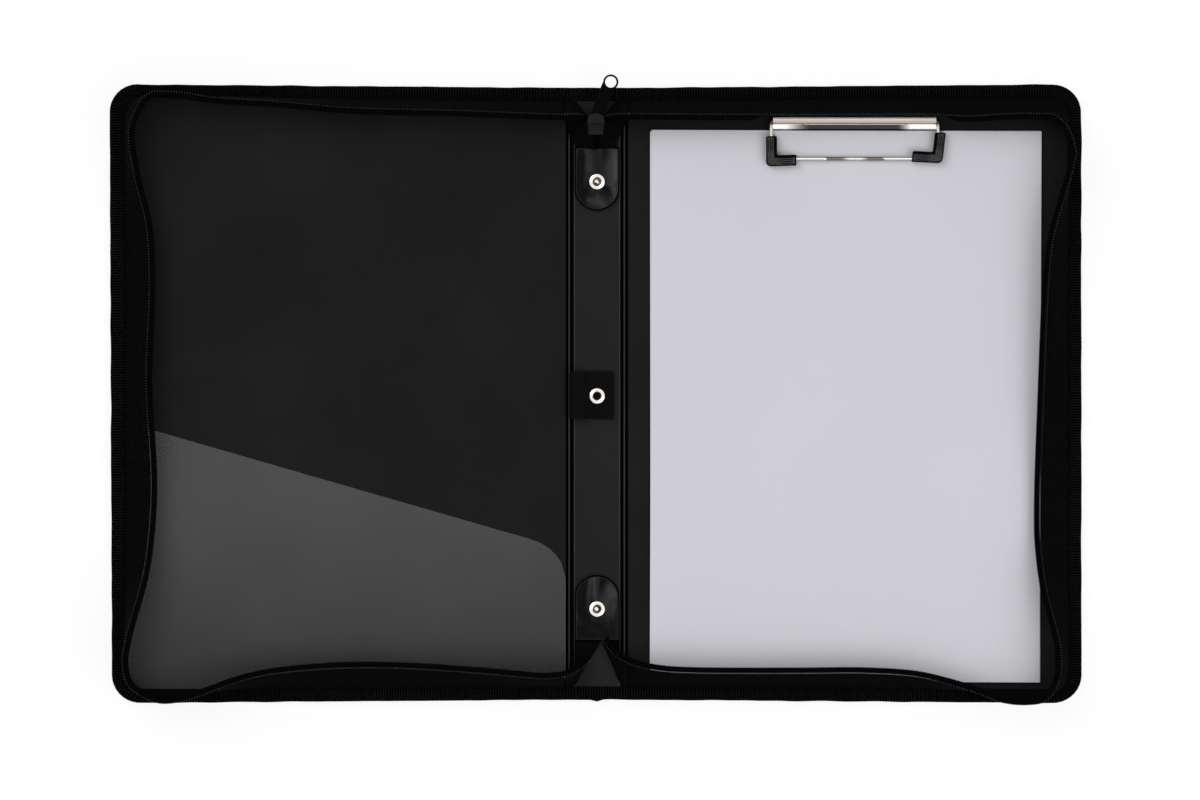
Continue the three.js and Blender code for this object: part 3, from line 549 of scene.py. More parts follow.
LINING_BLACK = sheet_material("lining sheet", 17, 36, 1300, 0.2, 0.62, 0.065)
SPINE_BLACK = sheet_material("spine sheet", 24, 41, 1300, 0.18, 0.58, 0.08)
OUTER_BLACK = sheet_material("outer leathercloth", 13, 25, 850, 0.35, 0.5, 0.05)
# The last two sheets are painted light: a black for the shade down in grooves and round a tab's rim, and a
# grey for the highlight on ridges.
PAINTED_SHADE_BLACK = sheet_material("painted shade in grooves", 1, 4, 1300, 0.1, 0.7, 0.015)
PAINTED_HIGHLIGHT_GREY = sheet_material("painted highlight on ridges", 44, 64, 1300, 0.1, 0.45, 0.18)
print("five black sheets")

# %% [markdown]
# The end tabs are cut from glossy sheet and have been folded and sewn while soft. Their folds are broad, and
# each fold is glossy on one flank and dull on the other. One stretched noise drives the folds' bump, a
# painted sheen that lightens their colour on one flank, and the weight of a clear coat, so that the gloss
# comes and goes with the folds. Toward the foot the painted sheen and the coat are weaker, so the foot tab is
# darker.

# %% Tab leathercloth
TAB_DULL_FOOT = -129, -106
CREASE_SCALE = 62
CREASE_TURN = 0.6
TAB_BLACK, tab_tree, tab_shader = new_material("glossy tab leathercloth", from_screen(10), 0.4, 0.05)
tab_shader.inputs["Coat Roughness"].default_value = 0.3
tab_grain = place_group(tab_tree, grain_group, Scale=1100, Drift=0.6)
stretch = tab_tree.nodes.new("ShaderNodeMapping")
stretch.inputs["Scale"].default_value = (1.0, 0.5, 1.0)
stretch.inputs["Rotation"].default_value = (0, 0, CREASE_TURN)
creases = tab_tree.nodes.new("ShaderNodeTexNoise")
creases.inputs["Scale"].default_value = CREASE_SCALE
creases.inputs["Detail"].default_value = 2
creases.inputs["Distortion"].default_value = 1.1
tab_tree.links.new(coordinates(tab_tree), stretch.inputs["Vector"])
tab_tree.links.new(stretch.outputs["Vector"], creases.inputs["Vector"])
fine = raise_surface(tab_tree, tab_shader, tab_grain.outputs["Height"], 0.3, 0.08)
raise_surface(tab_tree, tab_shader, creases.outputs["Fac"], 0.6, 4.0, fine)
# Painted sheen: the crease noise lightens the colour on one flank of each fold, and the coat follows it.
painted_sheen_and_coat = spread(tab_tree, creases.outputs["Fac"], 0.44, 0.7, 0, 1)
from_foot = along_axis(tab_tree, "Y", *TAB_DULL_FOOT, 0.12, 1)
painted_sheen_and_coat = math_node(tab_tree, "MULTIPLY", painted_sheen_and_coat, from_foot)
age(tab_tree, tab_shader, from_screen(3), from_screen(52), 0.32, 0.46, 0.05, painted_sheen_and_coat)
tab_tree.links.new(spread(tab_tree, painted_sheen_and_coat, 0, 1, 0.02, 0.4), tab_shader.inputs["Coat Weight"])
# A grey sheet painted on a tab's folded edge as its highlight.
TAB_FOLD_HIGHLIGHT = sheet_material("painted highlight on a tab's fold", 20, 46, 900, 0.1, 0.4, 0.1)
print("tab leathercloth")

# %% [markdown]
# The binding, the zip tapes and the pen loop are woven from black yarn. They differ in the pitch and the
# slope of their stripes: plain cross ribs on the binding, chevrons on the tape, wide ribs on the elastic. The
# stripes' crests are painted lighter, a painted sheen, as strongly as shown sets.

# %% Woven materials


def woven_material(name, dark, light, roughness, gloss, relief, shown=0.55, **weave):
    material, tree, shader = new_material(name, from_screen(dark), roughness, gloss)
    stripes = place_group(tree, weave_group, "UV", **weave)
    raise_surface(tree, shader, stripes.outputs["Height"], 0.9, relief)
    # The stripes' mask lightens the colour on their crests: painted sheen.
    age(tree, shader, from_screen(dark), from_screen(light), roughness - 0.05, roughness + 0.05, 0.5,
        math_node(tree, "MULTIPLY", stripes.outputs["Mask"], shown))
    return material


BINDING_YARN = woven_material("ribbed binding", 0, 26, 0.75, 0.006, 0.4, 0.95,
                              Pitch=1.45, Zigzag=0.0, Fuzz=2.2)
TAPE_YARN = woven_material("herringbone tape", 0, 22, 0.8, 0.009, 0.2, 0.9,
                           Pitch=1.5, Zigzag=0.9, Fold=2.7, Fuzz=2.2)
ELASTIC_YARN = woven_material("ribbed elastic", 2, 20, 0.7, 0.04, 0.1, Pitch=0.9, Zigzag=0.0, Fuzz=0.25)
THREAD, thread_tree, thread_shader = new_material("sewing thread", from_screen(6), 0.5, 0.03)
twist = place_group(thread_tree, weave_group, "UV", Pitch=0.35, Zigzag=0.6, Fold=0.5)
raise_surface(thread_tree, thread_shader, twist.outputs["Height"], 0.6, 0.08)
age(thread_tree, thread_shader, from_screen(2), from_screen(14), 0.42, 0.6)
print("three weaves and a thread")

# %% [markdown]
# The coil of the zip is bent from thick nylon line. It is smooth, so each turn shows one small highlight, and
# the pale thread over it is painted as a row of glints. The slider and the puller are cast and painted, and
# the grips on the clip are moulded, with a paler colour painted on as their highlight.

# %% Hard black materials


def moulded_material(name, dark, light, roughness, gloss, scale=2500, relief=0.02, coat=0.0):
    material, tree, shader = new_material(name, from_screen(dark), roughness, gloss)
    shader.inputs["Coat Weight"].default_value = coat
    shader.inputs["Coat Roughness"].default_value = 0.12
    grain = place_group(tree, grain_group, Scale=scale)
    raise_surface(tree, shader, grain.outputs["Height"], 0.3, relief)
    age(tree, shader, from_screen(dark), from_screen(light), roughness - 0.05, roughness + 0.08, 0.5)
    return material


COIL_NYLON = moulded_material("zip coil nylon", 0, 4, 0.45, 0.02)
COIL_THREAD_GLINTS = moulded_material("thread painted as glints over the coil", 61, 102, 0.6, 0.04)
SLIDER_PAINT = moulded_material("painted slider", 20, 34, 0.5, 0.1)
PULLER_PAINT = moulded_material("painted puller", 1, 6, 0.4, 0.03)
GRIP_HIGHLIGHT_PLASTIC = moulded_material("painted highlight on a moulded grip", 50, 96, 0.35, 0.1)
print("hard black materials")

# %% [markdown]
# Nickel plate is bright and almost smooth. Fine scratches run every way, and where hands and paper touch
# it the plating is a little duller. The rivets are the same plate, with darker metal down in the cup.

# %% Nickel
SCRATCH_SCALE = 1200


def nickel_material(name, dull, bright):
    """Plate with fine scratches, which also carry its colour from dull to bright."""
    material, tree, shader = new_material(name, bright, 0.22, 0.5, 1.0)
    scratches = tree.nodes.new("ShaderNodeTexNoise")
    scratches.inputs["Scale"].default_value = SCRATCH_SCALE
    scratches.inputs["Detail"].default_value = 5
    scratches.inputs["Distortion"].default_value = 3
    tree.links.new(coordinates(tree), scratches.inputs["Vector"])
    raise_surface(tree, shader, scratches.outputs["Fac"], 0.25, 0.05)
    dust = place_group(tree, dust_group, Amount=0.4)
    tree.links.new(spread(tree, dust.outputs["Patches"], 0.3, 0.7, 0.16, 0.32), shader.inputs["Roughness"])
    tint(tree, shader, scratches.outputs["Fac"], dull, bright)
    return material, tree, shader


PLATE_DULL, PLATE_BRIGHT = (0.78, 0.76, 0.72, 1), (0.92, 0.90, 0.87, 1)
CUP_DARK, CUP_MIDDLE, CUP_LIGHT = (0.10, 0.065, 0.045, 1), (0.16, 0.11, 0.08, 1), (0.26, 0.19, 0.14, 1)
NICKEL = nickel_material("nickel plate", PLATE_DULL, PLATE_BRIGHT)[0]
CUP_METAL, cup_tree, cup_shader = new_material("dark inside of a rivet", CUP_MIDDLE, 0.35, 0.5, 0.9)
cup_grain = place_group(cup_tree, grain_group, Scale=2500)
raise_surface(cup_tree, cup_shader, cup_grain.outputs["Height"], 0.3, 0.05)
tint(cup_tree, cup_shader, cup_grain.outputs["Cloud"], CUP_DARK, CUP_LIGHT)
print("nickel")

# %% [markdown]
# The pocket is frosted plastic sheet, so the lining shows through it as a lighter grey. Real transmission
# would be slow and dark here. A part-clear alpha over a pale sheet gives the same look, and a slow noise
# makes it cloudier in places, as such sheet gets where it has been pressed against paper.

# %% Pocket plastic and paper
POCKET_CLEAR, pocket_tree, pocket_shader = new_material("frosted pocket sheet", from_screen(115), 0.5, 0.1)
POCKET_FOOT, POCKET_HEAD = -160, -60
pocket_cloud = place_group(pocket_tree, grain_group, Scale=3200, Drift=0.8)
toward_head = along_axis(pocket_tree, "Y", POCKET_FOOT, POCKET_HEAD, 0, 0.75)
milky = math_node(pocket_tree, "MULTIPLY_ADD", pocket_cloud.outputs["Cloud"], 0.5, toward_head)
pocket_tree.links.new(spread(pocket_tree, milky, 0.1, 1.1, 0.28, 0.33), pocket_shader.inputs["Alpha"])
raise_surface(pocket_tree, pocket_shader, pocket_cloud.outputs["Cloud"], 0.1, 0.3)
pale = spread(pocket_tree, milky, 0.1, 1.1, 0, 1)
tint(pocket_tree, pocket_shader, pale, from_screen(100), from_screen(130))
PAPER_WHITE, paper_tree, paper_shader = new_material("office paper", from_screen(210, 210, 216), 0.85, 0.05)
paper_fibres = place_group(paper_tree, grain_group, Scale=2600, Drift=1.0)
raise_surface(paper_tree, paper_shader, paper_fibres.outputs["Height"], 0.15, 0.03)
PAPER_DULL, PAPER_BRIGHT = from_screen(208, 208, 214), from_screen(213, 213, 219)
tint(paper_tree, paper_shader, paper_fibres.outputs["Cloud"], PAPER_DULL, PAPER_BRIGHT)
BOARD_GREY = sheet_material("grey board", 128, 150, 700, 0.1, 0.9, 0.1)
print("pocket, paper and board")

# %% [markdown]
# ## Floor and light
# The photograph has a pure white background with almost no shadow. The floor is white where the camera,
# a mirror or clear plastic looks at it straight, and it still takes a faint shadow from the folder. Two
# large soft lamps and a grey sky light the folder at a level where a colour renders as it is written. The
# sky too is white where the camera or a mirror looks at it, so that the nickel comes out bright.

# %% Floor


def looked_at_straight(tree):
    """1 for a ray from the camera, a mirror or clear plastic, and 0 for the rays that carry light."""
    rays = tree.nodes.new("ShaderNodeLightPath")
    mirrored = math_node(tree, "MAXIMUM", rays.outputs["Is Camera Ray"], rays.outputs["Is Glossy Ray"])
    return math_node(tree, "MAXIMUM", mirrored, rays.outputs["Is Transmission Ray"])


FLOOR_HALF = 3000
FLOOR_GAP = 0.3
FLOOR_COLOUR = (0.9, 0.9, 0.9, 1)
FLOOR_WHITENESS = 0.82
FLOOR_GLOW = 1.04
floor = new_piece("floor", [(x * FLOOR_HALF, y * FLOOR_HALF, -FLOOR_GAP)
                            for x, y in ((-1, -1), (1, -1), (1, 1), (-1, 1))],
                  [(0, 1, 2, 3)], smooth=False)
FLOOR_WHITE, floor_tree, floor_shader = new_material("white floor", FLOOR_COLOUR, 0.9, 0.0)
straight = looked_at_straight(floor_tree)
glow = floor_tree.nodes.new("ShaderNodeEmission")
shown = floor_tree.nodes.new("ShaderNodeMixShader")
faint = math_node(floor_tree, "MULTIPLY", straight, FLOOR_WHITENESS)
floor_tree.links.new(faint, shown.inputs["Fac"])
floor_tree.links.new(floor_shader.outputs["BSDF"], shown.inputs[1])
floor_tree.links.new(glow.outputs["Emission"], shown.inputs[2])
floor_tree.links.new(shown.outputs["Shader"], floor_tree.nodes["Material Output"].inputs["Surface"])
glow.inputs["Strength"].default_value = FLOOR_GLOW
floor.data.materials.append(FLOOR_WHITE)
print("floor", FLOOR_HALF * 2 / 1000, "m wide")

# %% [markdown]
# The lamps stand to the left and to the right, well above the folder. The sky does the rest, at a grey
# that is half as bright for the light it casts as for a mirror that looks at it.

# %% Lamps and sky
SKY_GREY = 0.5
LAMP_WATTS = 34
LAMP_WIDE = 2.0
LAMP_PLACES = {"left": (-1.7, 1.5, 1.9), "right": (1.9, -1.2, 1.8)}
world = bpy.data.worlds.new("studio")
bpy.context.scene.world = world
world.use_nodes = True
world.node_tree.nodes["Background"].inputs["Color"].default_value = (1, 1, 1, 1)
sky_tree = world.node_tree
mirrored_sky = looked_at_straight(sky_tree)
sky_level = math_node(sky_tree, "MULTIPLY_ADD", mirrored_sky, 1 - SKY_GREY, SKY_GREY)
sky_tree.links.new(sky_level, sky_tree.nodes["Background"].inputs["Strength"])
for side, place in LAMP_PLACES.items():
    lamp_data = bpy.data.lights.new("soft lamp " + side, "AREA")
    lamp_data.size = LAMP_WIDE
    lamp_data.energy = LAMP_WATTS
    lamp = bpy.data.objects.new("soft lamp " + side, lamp_data)
    lamp.location = place
    lamp.rotation_euler = (-Vector(place)).to_track_quat("-Z", "Y").to_euler()
    bpy.context.scene.collection.objects.link(lamp)
bpy.context.scene.view_settings.view_transform = "Standard"
print("two lamps of", LAMP_WATTS, "W, sky", SKY_GREY)

# %% [markdown]
# ## The sewn line
# Binding, tape and stitches all follow one line round each cover: the line where the tape is sewn on. It
# starts at the spine, runs along the head, round two corners, and back along the foot. The head and foot
# edges fan out a little toward the corners. A place on the line also knows the way out of the cover.


# %% Sewn line
def half_height_at(x):
    share = (abs(x) - COVER_START) / (CORNER_X - COVER_START)
    return HALF_HEIGHT_SPINE + (HALF_HEIGHT_CORNER - HALF_HEIGHT_SPINE) * max(share, 0)


def sewn_place(side, stretch, share):
    """X and Y in millimetres and the outward direction, at a share of a stretch."""
    sign = -1 if stretch.startswith("foot") else 1
    if stretch == "side":
        return side * (HALF_WIDTH - BINDING_WIDTH), CORNER_Y * (1 - 2 * share), side, 0
    if stretch.endswith("corner"):
        out_x = side * math.sin(math.pi / 2 * share)
        out_y = sign * math.cos(math.pi / 2 * share)
        return side * CORNER_X + INNER_RADIUS * out_x, sign * CORNER_Y + INNER_RADIUS * out_y, out_x, out_y
    x = BINDING_START + (CORNER_X - BINDING_START) * share
    return side * x, sign * (half_height_at(x) - BINDING_WIDTH), 0, sign


def sewn_line(side):
    """Places all round a cover, close together at the corners."""
    places = []
    for stretch, steps, backward in (("head", 30, False), ("head corner", 24, False), ("side", 30, False),
                                     ("foot corner", 24, True), ("foot", 30, True)):
        shares = np.linspace(1, 0, steps + 1) if backward else np.linspace(0, 1, steps + 1)
        places += [sewn_place(side, stretch, share) for share in shares]
    kept = [places[0]] + [b for a, b in zip(places, places[1:]) if math.dist(a[:2], b[:2]) > 0.01]
    return np.array(kept)


def with_height(places, out, height):
    """Moves places outward by out and gives them a height."""
    return [(x + out * ox, y + out * oy, height) for x, y, ox, oy in places]


LINE_LEFT, LINE_RIGHT = sewn_line(-1), sewn_line(1)
walked = np.linalg.norm(np.diff(LINE_RIGHT[:, :2], axis=0), axis=1).sum()
print("sewn line of one cover:", round(walked), "mm")

# %% [markdown]
# ## Binding
# The raw edge of each cover is wrapped in ribbed woven tape, folded over the edge like a channel. Its
# section has a round outer fold, a leaf above and a leaf below, and its ends overlap in a lump at the
# foot. The ribs are real steps of the mesh, four rings to a rib, so that the edge looks woven in
# silhouette as well. The left edge bulges a little, more so toward the head.

# %% Binding
RIB_PITCH = 1.45
RIB_HEIGHT = 0.07
FOLD = 1.35
STITCH_LINE = 1.0
LINE_SETTLE = 0.12
EDGE_WANDER = 0.35
EDGE_WAVES = 0.07
SEAM_LUMP, SEAM_REACH = 0.9, 2.4
LEFT_WIDER, LEFT_LEAN = 0.95, 0.0037
OUTER_PART = 5.5


def binding_section():
    """The channel's section as (out, height), from the inner rim over the fold and back inside."""
    top, middle = BINDING_TOP, BINDING_TOP / 2
    leaf = BINDING_LEAF
    outer = [(0.0, LINING_TOP), (0.0, top - 0.2), (0.25, top - 0.02), (STITCH_LINE, top - LINE_SETTLE),
             (1.9, top - 0.02), (3.8, top), (5.4, top - 0.02)]
    fold = [(BINDING_WIDTH - FOLD + FOLD * math.cos(turn), middle + (middle - 0.02) * math.sin(turn))
            for turn in np.linspace(math.pi / 2, -math.pi / 2, 9)]
    inside = [(1.9, 0.0), (STITCH_LINE, LINE_SETTLE), (0.3, 0.0), (0.0, 0.15), (0.0, leaf),
              (BINDING_WIDTH - leaf, leaf + 0.05), (BINDING_WIDTH - leaf, LINING_TOP - 0.05)]
    return outer + fold + inside


def binding_strip(name, places, start=0.0):
    """Sweeps the section along places; start shifts the ribs, so that strips that meet share their rhythm."""
    steps, travelled = evenly(places, RIB_PITCH / 4, 2)
    section = binding_section()
    middle = BINDING_TOP / 2
    rings = []
    for (x, y, ox, oy), distance in zip(steps, travelled):
        length = math.hypot(ox, oy)
        swell = RIB_HEIGHT * (math.sin((distance + start) / RIB_PITCH * math.tau) - 1) / 2
        ring = []
        for k, (out, height) in enumerate(section):
            if 1 < k < len(section) - 4:
                lift = swell * (1 if height > middle else -1)
                height = min(max(height + (lift if out < OUTER_PART else 0), 0), BINDING_TOP)
                wander = EDGE_WANDER * noise.noise(Vector((x, y, 0)) * EDGE_WAVES)
                lump = SEAM_LUMP * math.exp(-(x / SEAM_REACH) ** 2) if y < 0 else 0
                lump += (LEFT_WIDER + LEFT_LEAN * y) * min(max((-x - CORNER_X) / CORNER_RADIUS * 2, 0), 1)
                out = out + (swell + wander + lump if out > OUTER_PART else 0)
            ring.append((x + out * ox / length, y + out * oy / length, height))
        rings.append(ring)
    return rings_to_piece(name, rings)


for side, line, body in ((-1, LINE_LEFT, "front_cover"), (1, LINE_RIGHT, "back_cover")):
    strip = binding_strip(body + "_edge_binding", line)
    finish_piece(strip, BINDING_YARN, body, [body + "_binding"])
    print(strip.name, len(strip.data.polygons), "faces")

# %% [markdown]
# Over the spine the binding runs straight on. The short stretches that cross the hinges have to bend when the
# folder is closed, so they are separate strips, which are baked in place and ride on no body.


def spine_edge(x, sign):
    return x, sign * SEAM_Y, 0, sign


for end, sign in (("head", 1), ("foot", -1)):
    along = [spine_edge(x, sign) for x in (-SPINE_BINDING_HALF, SPINE_BINDING_HALF)]
    strip = binding_strip(f"spine_{end}_binding", along)
    finish_piece(strip, BINDING_YARN, "spine", [f"spine_binding_{end}"])
    for side, cover in ((-1, "front_cover"), (1, "back_cover")):
        across = [spine_edge(side * x, sign) for x in (SPINE_BINDING_HALF, BINDING_START)]
        strip = binding_strip(f"{cover}_{end}_hinge_binding", across)
        finish_piece(strip, BINDING_YARN)
        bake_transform(strip)
print("binding runs over the spine")

# %% [markdown]
# A row of stitches near the inner rim holds the binding and the zip tape. Each stitch is a short thread
# that dips into the cloth at both ends. One small bead is modelled and repeated all round in one mesh.


# %% Stitches
def bead_row(name, centres, frames, size, rings=4, sides=6):
    """One mesh of beads; each has a centre and three directions, for its length, width and height."""
    length, width, height = size
    bead = []
    for ring in range(rings + 1):
        share = -1 + 2 * ring / rings
        girth = math.sqrt(max(1 - share * share, 0.03))
        bead += [(share * length / 2, girth * width / 2 * math.cos(turn), girth * height / 2 * math.sin(turn))
                 for turn in np.linspace(0, math.tau, sides, endpoint=False)]
    bead = np.array(bead)
    quads = [(first + k, first + (k + 1) % sides, first + sides + (k + 1) % sides, first + sides + k)
             for first in range(0, rings * sides, sides) for k in range(sides)]
    ends = [tuple(range(sides - 1, -1, -1)), tuple(range(rings * sides, (rings + 1) * sides))]
    points = (np.array(centres)[:, None, :] + bead @ np.array(frames)).reshape(-1, 3)
    faces, uvs = [], []
    for first in range(0, len(points), len(bead)):
        for face in quads + ends:
            faces.append(tuple(first + corner for corner in face))
            uvs += [tuple(bead[corner][:2]) for corner in face]
    piece = new_piece(name, points, faces, uvs)
    outward(piece)
    return piece


def stitch_row(name, places, out, height, pitch, size):
    """A row of stitches along places, at a distance out from the sewn line."""
    moved = [(*place, ox, oy) for place, (x, y, ox, oy) in zip(with_height(places, out, height), places)]
    steps, travelled = evenly(moved, pitch)
    centres, frames = [], []
    for x, y, z, ox, oy in steps[1:-1]:
        length = math.hypot(ox, oy)
        centres.append((x, y, z))
        frames.append([(-oy / length, ox / length, 0), (ox / length, oy / length, 0), (0, 0, 1)])
    return bead_row(name, centres, frames, size)


STITCH_PITCH = 3.1
STITCH_SIZE = (2.5, 0.5, 0.34)
for side, line, body in ((-1, LINE_LEFT, "front_cover"), (1, LINE_RIGHT, "back_cover")):
    for face, height in (("inside", BINDING_TOP - 0.05), ("outside", STITCH_SIZE[2] / 2)):
        row = stitch_row(f"{body}_{face}_stitches", line, STITCH_LINE, height, STITCH_PITCH, STITCH_SIZE)
        finish_piece(row, THREAD, body)
print("stitches every", STITCH_PITCH, "mm")

# %% [markdown]
# ## Zip tapes
# Each half of the zip is a woven tape 16 mm wide, sewn in at the binding and free at its other edge,
# where the coil is. It doesn't stand straight: along most of the way it leans over the cover, and near
# some corners it leans outward. A lean is how far the free edge lies inward of the sewn line, read off
# the photograph at stations along each stretch, and the height follows from the tape's width.

# %% Zip stations
TAPE_FREE = 16.0
TAPE_LOWEST = 3.0
TAPE_FOOT = LINING_TOP + 0.9
TAPE_THICKNESS = 0.8
COIL_RADIUS = 1.2
FRONT_LEANS = {
    "head": [(0, 7.6), (0.1, 7), (0.25, 5.9), (0.5, 4.9), (0.68, 1.8), (0.83, -0.2), (0.92, -2.9),
             (0.98, -2)],
    "head corner": [(0.5, 5.3)],
    "side": [(0.03, 2.3), (0.11, 5), (0.2, 11.4), (0.3, 13.1), (0.48, 11.4), (0.65, 14), (0.74, 13),
             (0.82, 9.8), (0.93, 1), (0.98, -1.2)],
    "foot corner": [(0.5, -0.1)],
    "foot": [(0, 5.4), (0.04, 4.6), (0.2, 7.8), (0.39, 10.8), (0.55, 10.9), (0.7, 7.8), (0.78, 3.4),
             (0.84, -1.6), (0.9, -6), (0.96, -6.6)],
}
BACK_LEANS = {
    "head": [(0, 7.1), (0.2, 7.9), (0.45, 8.3), (0.7, 8.7), (0.8, 9.8), (0.9, 8.7), (0.975, 8.9)],
    "head corner": [(0.5, 9.5)],
    "side": [(0.025, 1.3), (0.07, -3.5), (0.1, -2), (0.155, 2.8), (0.22, 8.2), (0.3, 11), (0.5, 13.6),
             (0.7, 15.4), (0.77, 15), (0.85, 12), (0.95, 4.8)],
    "foot corner": [(0.5, 4.2)],
    "foot": [(0, 12.4), (0.038, 10), (0.082, 8.5), (0.15, 7.8), (0.4, 8), (0.55, 8.4), (0.67, 6.9),
             (0.74, 3.6), (0.82, -1.8), (0.88, -6.8), (0.94, -7.8), (0.98, -5.6)],
}


def zip_edges(side, leans):
    """The sewn edge and the coil's centre line at the stations round one cover."""
    feet, coils = [], []
    for stretch, stops in leans.items():
        for share, lean in (reversed(stops) if stretch == "foot" else stops):
            x, y, out_x, out_y = sewn_place(side, stretch, share)
            rise = math.sqrt(max(TAPE_FREE ** 2 - lean ** 2, TAPE_LOWEST ** 2))
            feet.append((x, y, TAPE_FOOT))
            coils.append((x - out_x * lean, y - out_y * lean, TAPE_FOOT + rise))
    return feet, coils


print("stations on a cover:", len(zip_edges(1, BACK_LEANS)[0]))

# %% [markdown]
# A strip of tape is swept between the two edges. A cloth simulation could drape it, but the photograph
# already shows where both edges lie. Between them the cloth bulges a little, as a short bowed section,
# which a quadratic curve gives.

# %% Tape
TAPE_BULGE, END_BULGE, UNDER_BULGE = 1.1, 0.3, 0.1
TAPE_GAP = COIL_RADIUS * 0.4
CURVE_SAMPLES = 900
TAPE_STEPS = 9
TAPE_SPACING = 2.4


def strip_edges(feet, coils, samples):
    """Two edges as smooth curves, spaced evenly along the coil."""
    places = np.linspace(0, len(feet) - 1, samples)
    both = np.hstack([smooth_curve(coils, places), smooth_curve(feet, places)])
    even, travelled = evenly(both, TAPE_SPACING)
    return even[:, 3:], even[:, :3]


def unit(vectors):
    return vectors / np.linalg.norm(vectors, axis=-1, keepdims=True)


def upward(vectors):
    """The same directions, turned over where they point down."""
    return vectors * np.where(vectors[:, 2:] < 0, -1, 1)


def tape_strip(name, feet, coils, gap, bulge):
    """A bowed strip with two sides; gap keeps its free edge back from the coil's centre."""
    along = unit(np.gradient(coils, axis=0) + np.gradient(feet, axis=0))
    across = coils - feet
    lengths = np.linalg.norm(across, axis=1, keepdims=True)
    through = upward(unit(np.cross(across, along)))
    top = coils - across / lengths * gap
    middle = (feet + top) / 2 + through * bulge
    rings = []
    for foot, bend, edge, normal in zip(feet, middle, top, through):
        shares = np.linspace(0, 1, TAPE_STEPS)[:, None]
        line = (1 - shares) ** 2 * foot + 2 * shares * (1 - shares) * bend + shares ** 2 * edge
        half = normal * TAPE_THICKNESS / 2
        rings.append(np.vstack([line + half, (line - half)[::-1]]))
    return rings_to_piece(name, rings)


print("tape is", TAPE_THICKNESS, "mm thick")

# %% [markdown]
# The teeth are real pieces too: a nylon coil turns once every 1.5 mm on the inner face of the tape, and each
# turn is a rounded bead that reaches inward from the free edge, over a flat cord. The thread that sews the
# coil on is a row of pale dots along that edge, painted pale as the glint on each turn. All turns of a row
# are one mesh.

# %% Teeth
TOOTH_PITCH = 1.48
TOOTH_SIZE = (3.4, 1.25, 1.6)
TOOTH_SHIFT = 1.9
CORD_SECTION = ((0.3, 0.4), (3.2, 0.3), (3.2, -0.3), (0.3, -0.4))
DOT_SIZE = (0.36, 0.9, 0.4)
DOT_LIFT = 0.75


def teeth(name, feet, coils, inward, bare=0, droop=None):
    """Turns that reach inward from the tape's free edge, the cord inside them and the thread's dots, painted
    pale as glints.
    """
    both, travelled = evenly(np.hstack([coils, feet]), TOOTH_PITCH)
    line = both[:, :3]
    along = unit(np.gradient(line, axis=0))
    level = unit(np.cross(along, (0, 0, inward)))
    turn = droop(line)[:, None] if droop else np.zeros((len(line), 1))
    reach = level * np.cos(turn) - np.array((0, 0, 1.0)) * np.sin(turn)
    upper = upward(np.cross(reach, along))
    top = upward(np.cross(level, along))
    turned = np.stack([reach, along, upper], axis=1)
    row = bead_row(name, line + reach * TOOTH_SHIFT, turned, TOOTH_SIZE, 6, 8)
    corners = [line + reach * out + upper * lift for out, lift in CORD_SECTION]
    cord = rings_to_piece(name + "_cord", np.stack(corners, 1))
    kept = slice(0, len(line) - bare)
    # The thread's dots are painted pale, as the glint on each turn.
    dots = line + top * DOT_LIFT
    sewn = bead_row(name + "_thread", dots[kept], np.stack([along, level, top], axis=1)[kept], DOT_SIZE, 4, 6)
    for piece, material in ((row, COIL_NYLON), (cord, COIL_NYLON), (sewn, COIL_THREAD_GLINTS)):
        finish_piece(piece, material)
    return cord, row, sewn


print("a tooth every", TOOTH_PITCH, "mm")

# %% [markdown]
# When the folder closes, the two halves of the zip meet and crumple down between the covers. The tapes and
# teeth on the covers ride on their cover. Beside the clip the coil hangs down behind the clip's tube, so the
# turns droop there and leave the tube in sight.

# %% Zip halves on the covers
DROOP = 1.5
DROOP_FADE = 8
DROOP_PAST = 5
tube_low, tube_high = box_mm("clip_base")


def droop_at_clip(line):
    """How far the turns hang down, in radians: fully beside the clip, and less and less past its ends."""
    past_ends = np.minimum(line[:, 0] - tube_low.x, tube_high.x - line[:, 0]) + DROOP_PAST
    return DROOP * np.clip(past_ends / DROOP_FADE + 1, 0, 1) * (line[:, 1] > 0)


for side, cover, joint, leans in ((-1, "front_cover", "front_cover_fold", FRONT_LEANS),
                                  (1, "back_cover", "spine_fold", BACK_LEANS)):
    feet, coils = strip_edges(*zip_edges(side, leans), CURVE_SAMPLES)
    tape = tape_strip(cover + "_zip_cloth", feet, coils, TAPE_GAP, TAPE_BULGE)
    finish_piece(tape, TAPE_YARN, cover, [cover + "_zip_tape"])
    droop = droop_at_clip if side > 0 else None
    cord, row, sewn = teeth(cover + "_zip_teeth", feet, coils, side, droop=droop)
    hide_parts(cover + "_zip_coil")
    for piece in (cord, row, sewn):
        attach(piece, cover)
    for piece in (tape, cord, row, sewn):
        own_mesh(piece)
    print(cover, "teeth in faces:", len(row.data.polygons))

# %% [markdown]
# At both ends of the spine the tapes turn in from the covers and dive under the end tabs. Each end is a short
# strip between two rails, one for its foot and one for its coil, chosen from the photograph.

# %% Rails of the zip ends
TAPE_FLAT = TAPE_FOOT + 0.2
TAB_HEAD_EDGE = box_mm("end_tab_head")[1].y + 0.3
TAB_FOOT_EDGE = box_mm("end_tab_foot")[0].y - 0.3
HEAD_OUTER = {-1: (16, 14.6, 10.6), 1: (15.4, 12.1, 9.8)}
SLIDER_X = (box_mm("zip_slider")[0].x + box_mm("zip_slider")[1].x) / 2


def cover_end(side, stretch, leans):
    """Where the cover's strip starts at the spine."""
    x, y, out_x, out_y = sewn_place(side, stretch, 0)
    lean = leans[stretch][0][1]
    return (x, y, TAPE_FOOT), (x, y - out_y * lean, TAPE_FOOT + math.sqrt(TAPE_FREE ** 2 - lean ** 2))


